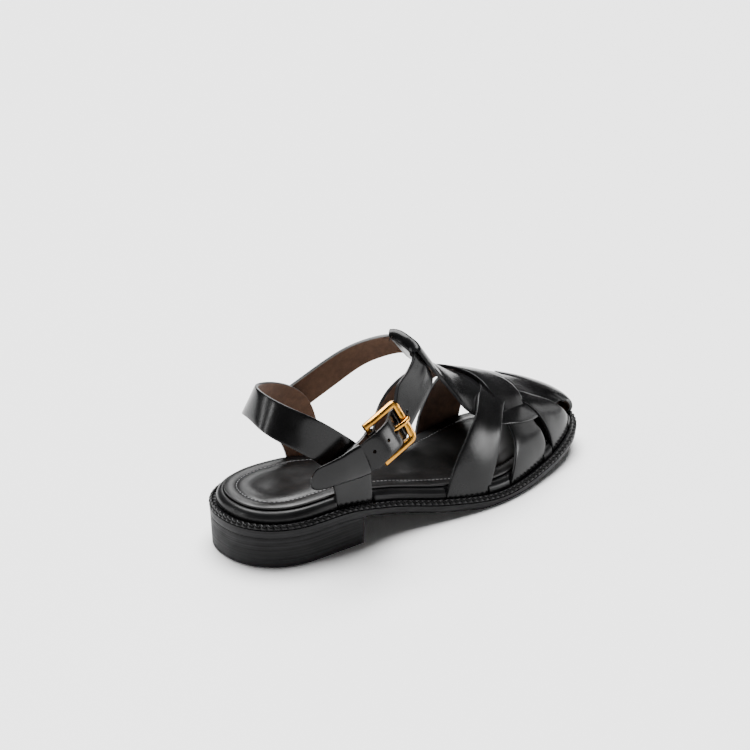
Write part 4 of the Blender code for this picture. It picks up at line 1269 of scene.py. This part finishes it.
class SandalSizes(bpy.types.PropertyGroup):
    """Fine sizes that the frame doesn't hold."""

    bead_pitch: bpy.props.FloatProperty(
        name="Bead pitch",
        description="Length of one twist of the welt's rope",
        unit="LENGTH",
        default=BEAD_PITCH,
    )
    stitch_pitch: bpy.props.FloatProperty(
        name="Stitch pitch",
        description="Length from one stitch to the next",
        unit="LENGTH",
        default=0.0027,
    )
    edge_roll: bpy.props.FloatProperty(
        name="Edge roll",
        description="Rounding of the strap edges",
        unit="LENGTH",
        default=0.00045,
    )


def smooth_step(x, start, end):
    share = np.clip((np.asarray(x) - start) / (end - start), 0, 1)
    return share * share * (3 - 2 * share)


def above(height):
    return lambda x: welt_top(x) + height


class SANDAL_OT_sole(bpy.types.Operator):
    """Heel block and sole layer"""

    bl_idname = "sandal.sole"
    bl_label = "Heel and sole"

    def execute(self, context):
        self.make_heel()
        self.make_sole()
        return {"FINISHED"}

    def make_heel(self):
        rings = []
        for share, inset in HEEL_LEVELS[1:]:
            turn = math.acos(1 - 2 * (STACK_LENGTH - inset) / (LENGTH - 2 * inset))
            at = np.linspace(0, turn, HEEL_POINTS)
            loops = []
            for side in sides(inset):
                x = side[0, 0] + (side[-1, 0] - side[0, 0]) * (1 - np.cos(at)) / 2
                z = (welt_top(x) - WELT_HEIGHT - SOLE_THICKNESS) * share
                loops.append(np.stack([x, np.interp(x, side[:, 0], side[:, 1]), z], -1))
            rings.append(np.vstack([loops[0], loops[1][:0:-1]]))
        obj = solid_from_rings("heel_stack", rings, MATERIALS["heel"], HEEL_POINTS)
        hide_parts("heel_block")

    def make_sole(self):
        tread = columns(TREAD)

        def low(x):
            stands_out = TREAD_HEIGHT * read_curve(tread["along"], tread["share"], np.asarray(x) / LENGTH)
            return np.maximum(welt_top(x) - WELT_HEIGHT - SOLE_THICKNESS - stands_out, 0.0)

        def side(share, rise):
            return lambda x: low(x) + share * (welt_top(x) - WELT_HEIGHT - low(x)) + rise

        def on_heel(reach):
            start, end = (STACK_LENGTH * share for share in LET_OUT_END)
            return lambda x: reach * (1 - smooth_step(x, start, end))

        rows = [(inset, side(share, rise), on_heel(reach)) for inset, share, rise, reach in SOLE_SECTION[1:]]
        obj = lathe_ring("sole_layer", rows, MATERIALS["sole"])
        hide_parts("outsole")


class SANDAL_OT_welt(bpy.types.Operator):
    """Rope welt round the foot"""

    bl_idname = "sandal.welt"
    bl_label = "Rope welt"

    def execute(self, context):
        sizes = context.scene.sandal_sizes
        rim = outline(0.0)
        length = np.linalg.norm(np.roll(rim, -1, 0) - rim, axis=1).sum()
        beads = int(round(length / sizes.bead_pitch))
        count = beads * BEAD_STEPS
        at = np.linspace(0, DENSE, count, endpoint=False)
        low = at.astype(int)
        share = (at - low)[:, None]
        edge = RIM[low % DENSE] * (1 - share) + RIM[(low + 1) % DENSE] * share
        inward = INWARD[low % DENSE]
        rows = []
        for i in range(count):
            row = []
            for inset, height, relief in WELT_SECTION[1:]:
                phase = math.pi * (i / BEAD_STEPS + inset * BEAD_SLANT)
                dent = (1 - abs(math.sin(phase)) ** BEAD_SHARPNESS) * relief * BEAD_DEPTH
                away = np.array([inset - WELT_CORE[0], height - WELT_CORE[1]])
                away *= 1 - dent / np.linalg.norm(away)
                spot = edge[i] + inward[i] * (WELT_CORE[0] + away[0])
                row.append((spot[0], spot[1], float(welt_top(spot[0])) + WELT_CORE[1] + away[1]))
            rows.append(row)
        obj = ring_piece("rope_welt", rows, MATERIALS["welt"], ROPE_ANGLE)
        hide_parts("welt")
        return {"FINISHED"}


def foot_press(share, feet):
    """How far the rand is pressed in at a share of the length: 1 behind a foot, 0 where it is free."""
    inside = [min(share - start, end - share) for start, end in feet]
    level = min(max((max(inside) + PRESS_MARGIN) / PRESS_RAMP + 1, 0.0), 1.0)
    return level * level * (3 - 2 * level)


class SANDAL_OT_footbed(bpy.types.Operator):
    """Rolled rand, padded insole and its stitching"""

    bl_idname = "sandal.footbed"
    bl_label = "Footbed"

    def execute(self, context):
        base = RAND_INSET + RAND_PLAY
        core_rows = [(base + inset, above(height)) for inset, height in CORE_SECTION[1:]]
        core = lathe_ring("rand_core", core_rows, MATERIALS["rand"])
        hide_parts("midsole")
        self.make_roll(base)
        edge = base + INSOLE_INSET
        insole_rows = [(edge + inset, self.level(rise, cup)) for inset, rise, cup in INSOLE_SECTION[1:]]
        insole = lathe_ring("padded_insole", insole_rows, MATERIALS["footbed"])
        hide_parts("insole")
        line = outline(edge + STITCH_INSET)[::SEAM_EVERY]
        height = self.level(INSOLE_THICKNESS - STITCH_DROP, 0.0)(line[:, 0])
        path = np.stack([line[:, 0], line[:, 1], height], -1)
        pitch = context.scene.sandal_sizes.stitch_pitch
        seam = stitches("insole_stitches", path, pitch, MATERIALS["thread"])
        return {"FINISHED"}

    def level(self, rise, cup):
        """Height of the insole along the shoe, sunk by a share of the heel's cup."""
        middle, reach = HEEL_DISH

        def height(x):
            dish = np.exp(-(((np.asarray(x) / LENGTH - middle) / reach) ** 2))
            return welt_top(x) + RAND_HEIGHT + CLEARANCE + rise - cup * HEEL_CUP * dish

        return height

    def make_roll(self, base):
        """Thick leather roll between welt and insole, pressed in behind the straps' feet."""
        free = WELT_WIDTH + ROLL_OUTER
        inner = base + ROLL_INNER
        tip = int(np.argmax(RIM[:, 0]))
        rows = []
        for i in np.linspace(0, DENSE, ROLL_POINTS, endpoint=False).astype(int):
            share = RIM[i, 0] / LENGTH
            pressed = foot_press(share, OUTER_FEET if i <= tip else INNER_FEET)
            waist = math.exp(-((share - RIDGE_MIDDLE) / RIDGE_REACH) ** 4)
            outer = free + (base - free) * pressed
            row = []
            for part, height, ridge in ROLL_SECTION[1:]:
                inset = outer + part * (inner - outer) + ridge * waist * RIDGE_CUT
                spot = RIM[i] + INWARD[i] * inset
                row.append((spot[0], spot[1], float(welt_top(spot[0])) + height))
            rows.append(row)
        roll = ring_piece("rand_roll", rows, MATERIALS["rand"], ROLL_ANGLE)


class SANDAL_OT_vamp(bpy.types.Operator):
    """Woven straps over the forefoot and the instep loop"""

    bl_idname = "sandal.vamp"
    bl_label = "Woven upper"

    def execute(self, context):
        grids = {
            "strap_rear_outer": drape(REAR_TO_MIDDLE, REAR_ROWS, STRAP_COLS),
            "strap_rear_inner": drape(MIDDLE_TO_REAR, MIDDLE_ROWS, STRAP_COLS),
            "strap_toe_inner": toe_strap(TOE_INNER_ROWS, TOE_INNER_COLS),
            "strap_toe_outer": drape(TOE_OUTER, TOE_OUTER_ROWS, STRAP_COLS),
            "instep_loop": instep_strip(STRAP_COLS),
        }
        for index, (name, grid) in enumerate(grids.items()):
            piece = strap_piece(name, grid, LEATHER)
            if index == 0:
                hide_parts("vamp")
        return {"FINISHED"}


class SANDAL_OT_heel_strap(bpy.types.Operator):
    """Strap round the heel with its two posts"""

    bl_idname = "sandal.heel_strap"
    bl_label = "Heel strap"

    def execute(self, context):
        low, top = (ease(rows, HEEL_EASE) for rows in band_edges(HEEL_BAND, HEEL_STRAP_ROWS))
        inside = np.array([0.2 * LENGTH, 0, 0.6 * INSTEP_HEIGHT])
        grid = facing(band_grid(low, top, HEEL_STRAP_COLS), inside)
        piece = strap_piece("heel_strap_leather", grid, LEATHER)
        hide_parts("heel_strap")
        return {"FINISHED"}


class SANDAL_OT_ankle_strap(bpy.types.Operator):
    """Ankle strap with its punched holes, and the cover and short strap that hold its end"""

    bl_idname = "sandal.ankle_strap"
    bl_label = "Ankle strap"

    def execute(self, context):
        strap = strap_piece("ankle_strap_leather", pinch(ankle_grid(ANKLE_COLS)), LEATHER)
        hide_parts("ankle_strap")
        for share, out in STRAP_HOLES[1:]:
            self.punch(strap, share * BUCKLE_LENGTH, out * BUCKLE_BAR, 0.0, HOLE_WIDTH / 2)
        middle = (STRAP_SLOT[0] + STRAP_SLOT[1]) / 2 * BUCKLE_LENGTH
        reach = (STRAP_SLOT[1] - STRAP_SLOT[0]) / 2 * BUCKLE_LENGTH - PRONG_WIDTH / 2
        self.punch(strap, middle, BUCKLE_BAR, reach, PRONG_WIDTH / 2 + 1.2 * CLEARANCE)
        self.make_short_strap()
        self.make_cover()
        return {"FINISHED"}

    def punch(self, strap, u, w, reach, radius):
        """Cuts a round hole, or a slot that reaches along the strap, square to the buckle."""
        turns = np.linspace(0, 2 * math.pi, HOLE_SIDES, endpoint=False)
        points = []
        for off in (w - 4 * LEATHER, w + 3 * LEATHER):
            for turn in turns:
                along = u + radius * math.cos(turn) + math.copysign(reach, math.cos(turn))
                points.append(at_buckle(along, radius * math.sin(turn), off))
        count = HOLE_SIDES
        faces = [(k, (k + 1) % count, count + (k + 1) % count, count + k) for k in range(count)]
        faces += [tuple(range(count)), tuple(range(count, 2 * count))]
        cutter = add_piece("hole_cutter", points, faces, [])
        recalculate(cutter)
        cut = strap.modifiers.new("hole", "BOOLEAN")
        cut.operation = "DIFFERENCE"
        cut.solver = "EXACT"
        cut.object = cutter
        apply_all(strap)
        bpy.data.objects.remove(cutter, do_unlink=True)

    def make_short_strap(self):
        outer = BUCKLE_BAR / 2 + CLEARANCE + LINING_STRAP
        half = BUCKLE_WIDTH / 2 - BUCKLE_BAR - LEATHER
        rows = [[place(*row[:3]), place(*row[3:])] for row in BUCKLE_TAIL[1:]]
        for a in np.radians(SHORT_STRAP_TURNS):
            u, w = HINGE + outer * math.cos(a), outer * math.sin(a)
            rows.append([at_buckle(u, -half, w), at_buckle(u, half, w)])
        end = HINGE - LINING_STRAP * SHORT_STRAP_END
        rows.append([at_buckle(end, -half, outer), at_buckle(end, half, outer)])
        rows = np.array(rows)
        grid = band_grid(rows[:, 0], rows[:, 1], SHORT_STRAP_COLS)
        if normals(grid)[0, 0, 1] < 0:
            grid = grid[:, ::-1]
        piece = strap_piece("buckle_strap_leather", grid, LINING_STRAP)
        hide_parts("buckle_strap")

    def make_cover(self):
        share = smooth_rows(COVER_PROFILE[1:], COVER_COLS)
        grid = []
        for row in smooth_rows(COVER_BAND[1:], COVER_ROWS):
            low, top = place(*row[:3]), place(*row[3:6])
            lifts = COVER_STAND * (COVER_BASE + share[:, 1] * row[6])
            grid.append(low * (1 - share[:, :1]) + top * share[:, :1] + COVER_OUT * lifts[:, None])
        inside = np.array([0.25 * LENGTH, 0, 0.4 * INSTEP_HEIGHT])
        grid = facing(np.array(grid), inside)
        piece = strap_piece("cover_leather", grid, COVER_LEATHER, cup=0.0)
        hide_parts("cover_band")


class SANDAL_OT_buckle(bpy.types.Operator):
    """Faceted brass buckle with its pin and prong"""

    bl_idname = "sandal.buckle"
    bl_label = "Buckle"

    def execute(self, context):
        self.make_frame()
        self.make_prong()
        return {"FINISHED"}

    def make_frame(self):
        radius = BUCKLE_BAR / 2
        half_u = BUCKLE_LENGTH / 2 - radius
        half_v = BUCKLE_WIDTH / 2 - radius
        _, along, across, out = buckle_frame_axes()
        spots = [(-half_u - radius, half_v, 90.0), (-half_u * BAR_MIDPOINT, half_v, 90.0)]
        for turn in CORNER_TURNS:
            a = math.radians(turn)
            u = half_u - BUCKLE_CORNER + BUCKLE_CORNER * math.cos(a)
            spots.append((u, half_v - BUCKLE_CORNER + BUCKLE_CORNER * math.sin(a), turn))
        spots += [(u, -v, -turn) for u, v, turn in reversed(spots)]
        path = [at_buckle(u, v, 0.0) for u, v, _ in spots]
        turns = [math.radians(spot[2]) for spot in spots]
        aside = [along * math.cos(a) + across * math.sin(a) for a in turns]
        section = [(s * radius, t * radius) for s, t in BUCKLE_SECTION[1:]]
        bars = sweep("buckle_bars", path, aside, [out] * len(path), section, BAR_SOFTNESS)
        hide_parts("buckle_frame")
        end = half_v + PIN_REACH
        path = [at_buckle(-half_u, v, 0.0) for v in np.linspace(-end, end, PIN_STEPS)]
        section = round_section(radius * PIN_SHARE, PIN_SIDES)
        pin = sweep("buckle_pin", path, [along] * PIN_STEPS, [out] * PIN_STEPS, section, PIN_SOFTNESS)

    def make_prong(self):
        radius = PRONG_WIDTH / 2
        eye = BUCKLE_BAR / 2 + CLEARANCE + radius
        wrap = HOOK_STAND * BUCKLE_BAR / 2 + CLEARANCE / 2 + radius * PRONG_FLATNESS
        across = buckle_frame_axes()[2]
        round_pin = [(HINGE + eye * math.cos(a), eye * math.sin(a)) for a in np.radians(EYE_TURNS)]
        ahead = [(-HINGE * share, off * BUCKLE_BAR) for share, off in PRONG_COURSE[1:]]
        over_bar = [(-HINGE + wrap * math.cos(a), wrap * math.sin(a)) for a in np.radians(HOOK_TURNS)]
        course = np.vstack([round_pin, smooth_rows(round_pin[-1:] + ahead + over_bar, PRONG_ROWS)[1:]])
        path = np.array([at_buckle(u, 0.0, w) for u, w in course])
        run = np.gradient(path, axis=0)
        run /= np.linalg.norm(run, axis=1)[:, None]
        lift = np.cross(run, across)
        section = [(s * PRONG_BREADTH, t * PRONG_FLATNESS) for s, t in round_section(radius, PRONG_SIDES)]
        prong = sweep("buckle_tongue", path, [across] * len(path), lift, section, PIN_SOFTNESS)
        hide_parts("buckle_prong")


class SANDAL_OT_stage(bpy.types.Operator):
    """Pale floor, soft studio light and the camera"""

    bl_idname = "sandal.stage"
    bl_label = "Stage"

    def execute(self, context):
        deselect()
        bpy.ops.mesh.primitive_plane_add(size=FLOOR_SIZE, location=(0.0, 0.0, -FLOOR_DROP))
        floor = context.active_object
        floor.name = "pale_floor"
        floor.data.materials.append(new_material("pale floor", [FLOOR_TONE] * 3, 0.6)[0])
        bpy.ops.object.light_add(type="SUN", rotation=[math.radians(turn) for turn in SUN_TURN])
        overhead = context.active_object
        overhead.name = "overhead"
        overhead.data.energy = SUN_POWER
        overhead.data.angle = math.radians(SUN_SPREAD)
        for row in SOFT_BOXES[1:]:
            self.add_light(*row)
        world = bpy.data.worlds.new("studio")
        world.use_nodes = True
        world.node_tree.nodes["Background"].inputs["Color"].default_value = (1.0, 1.0, 1.0, 1.0)
        world.node_tree.nodes["Background"].inputs["Strength"].default_value = STUDIO_GLOW
        context.scene.world = world
        self.add_camera(context)
        return {"FINISHED"}

    def add_light(self, name, spot, wide, tall, power):
        """Soft box that faces the middle of the shoe."""
        turn = (Vector(LIGHT_AIM) - Vector(spot)).to_track_quat("-Z", "Y").to_euler()
        bpy.ops.object.light_add(type="AREA", location=spot, rotation=turn)
        light = bpy.context.active_object
        light.name = name
        light.data.shape = "RECTANGLE"
        light.data.size = wide
        light.data.size_y = tall
        light.data.energy = power

    def add_camera(self, context):
        turn = (math.radians(90 - CAMERA_DROP), 0.0, math.radians(CAMERA_TURN))
        bpy.ops.object.camera_add(location=np.array(CAMERA_PLACE) + SHIFT, rotation=turn)
        camera = context.active_object
        camera.data.sensor_width = CAMERA_SENSOR
        camera.data.lens = CAMERA_LENS
        context.scene.camera = camera


class SANDAL_PT_panel(bpy.types.Panel):
    """Lists the pieces in the sidebar"""

    bl_idname = "SANDAL_PT_panel"
    bl_label = "Fisherman sandal"
    bl_space_type = "VIEW_3D"
    bl_region_type = "UI"
    bl_category = "Sandal"

    def draw(self, context):
        for operator in OPERATORS:
            self.layout.operator(operator.bl_idname)
        for group in (context.scene.sandal_look, context.scene.sandal_sizes):
            for name in group.bl_rna.properties.keys():
                if name not in {"name", "rna_type"}:
                    self.layout.prop(group, name)


OPERATORS = [
    SANDAL_OT_sole,
    SANDAL_OT_welt,
    SANDAL_OT_footbed,
    SANDAL_OT_vamp,
    SANDAL_OT_heel_strap,
    SANDAL_OT_ankle_strap,
    SANDAL_OT_buckle,
    SANDAL_OT_stage,
]
CLASSES = [SandalLook, SandalSizes, *OPERATORS, SANDAL_PT_panel]


def register():
    for cls in CLASSES:
        bpy.utils.register_class(cls)
    bpy.types.Scene.sandal_look = bpy.props.PointerProperty(type=SandalLook)
    bpy.types.Scene.sandal_sizes = bpy.props.PointerProperty(type=SandalSizes)


def unregister():
    del bpy.types.Scene.sandal_look
    del bpy.types.Scene.sandal_sizes
    for cls in reversed(CLASSES):
        bpy.utils.unregister_class(cls)


def main():
    register()
    deselect()
    make_materials(bpy.context.scene.sandal_look)
    bpy.ops.sandal.sole()
    bpy.ops.sandal.welt()
    bpy.ops.sandal.footbed()
    bpy.ops.sandal.vamp()
    bpy.ops.sandal.heel_strap()
    bpy.ops.sandal.ankle_strap()
    bpy.ops.sandal.buckle()
    bpy.ops.sandal.stage()
    bpy.context.view_layer.update()


if __name__ == "__main__":
    main()
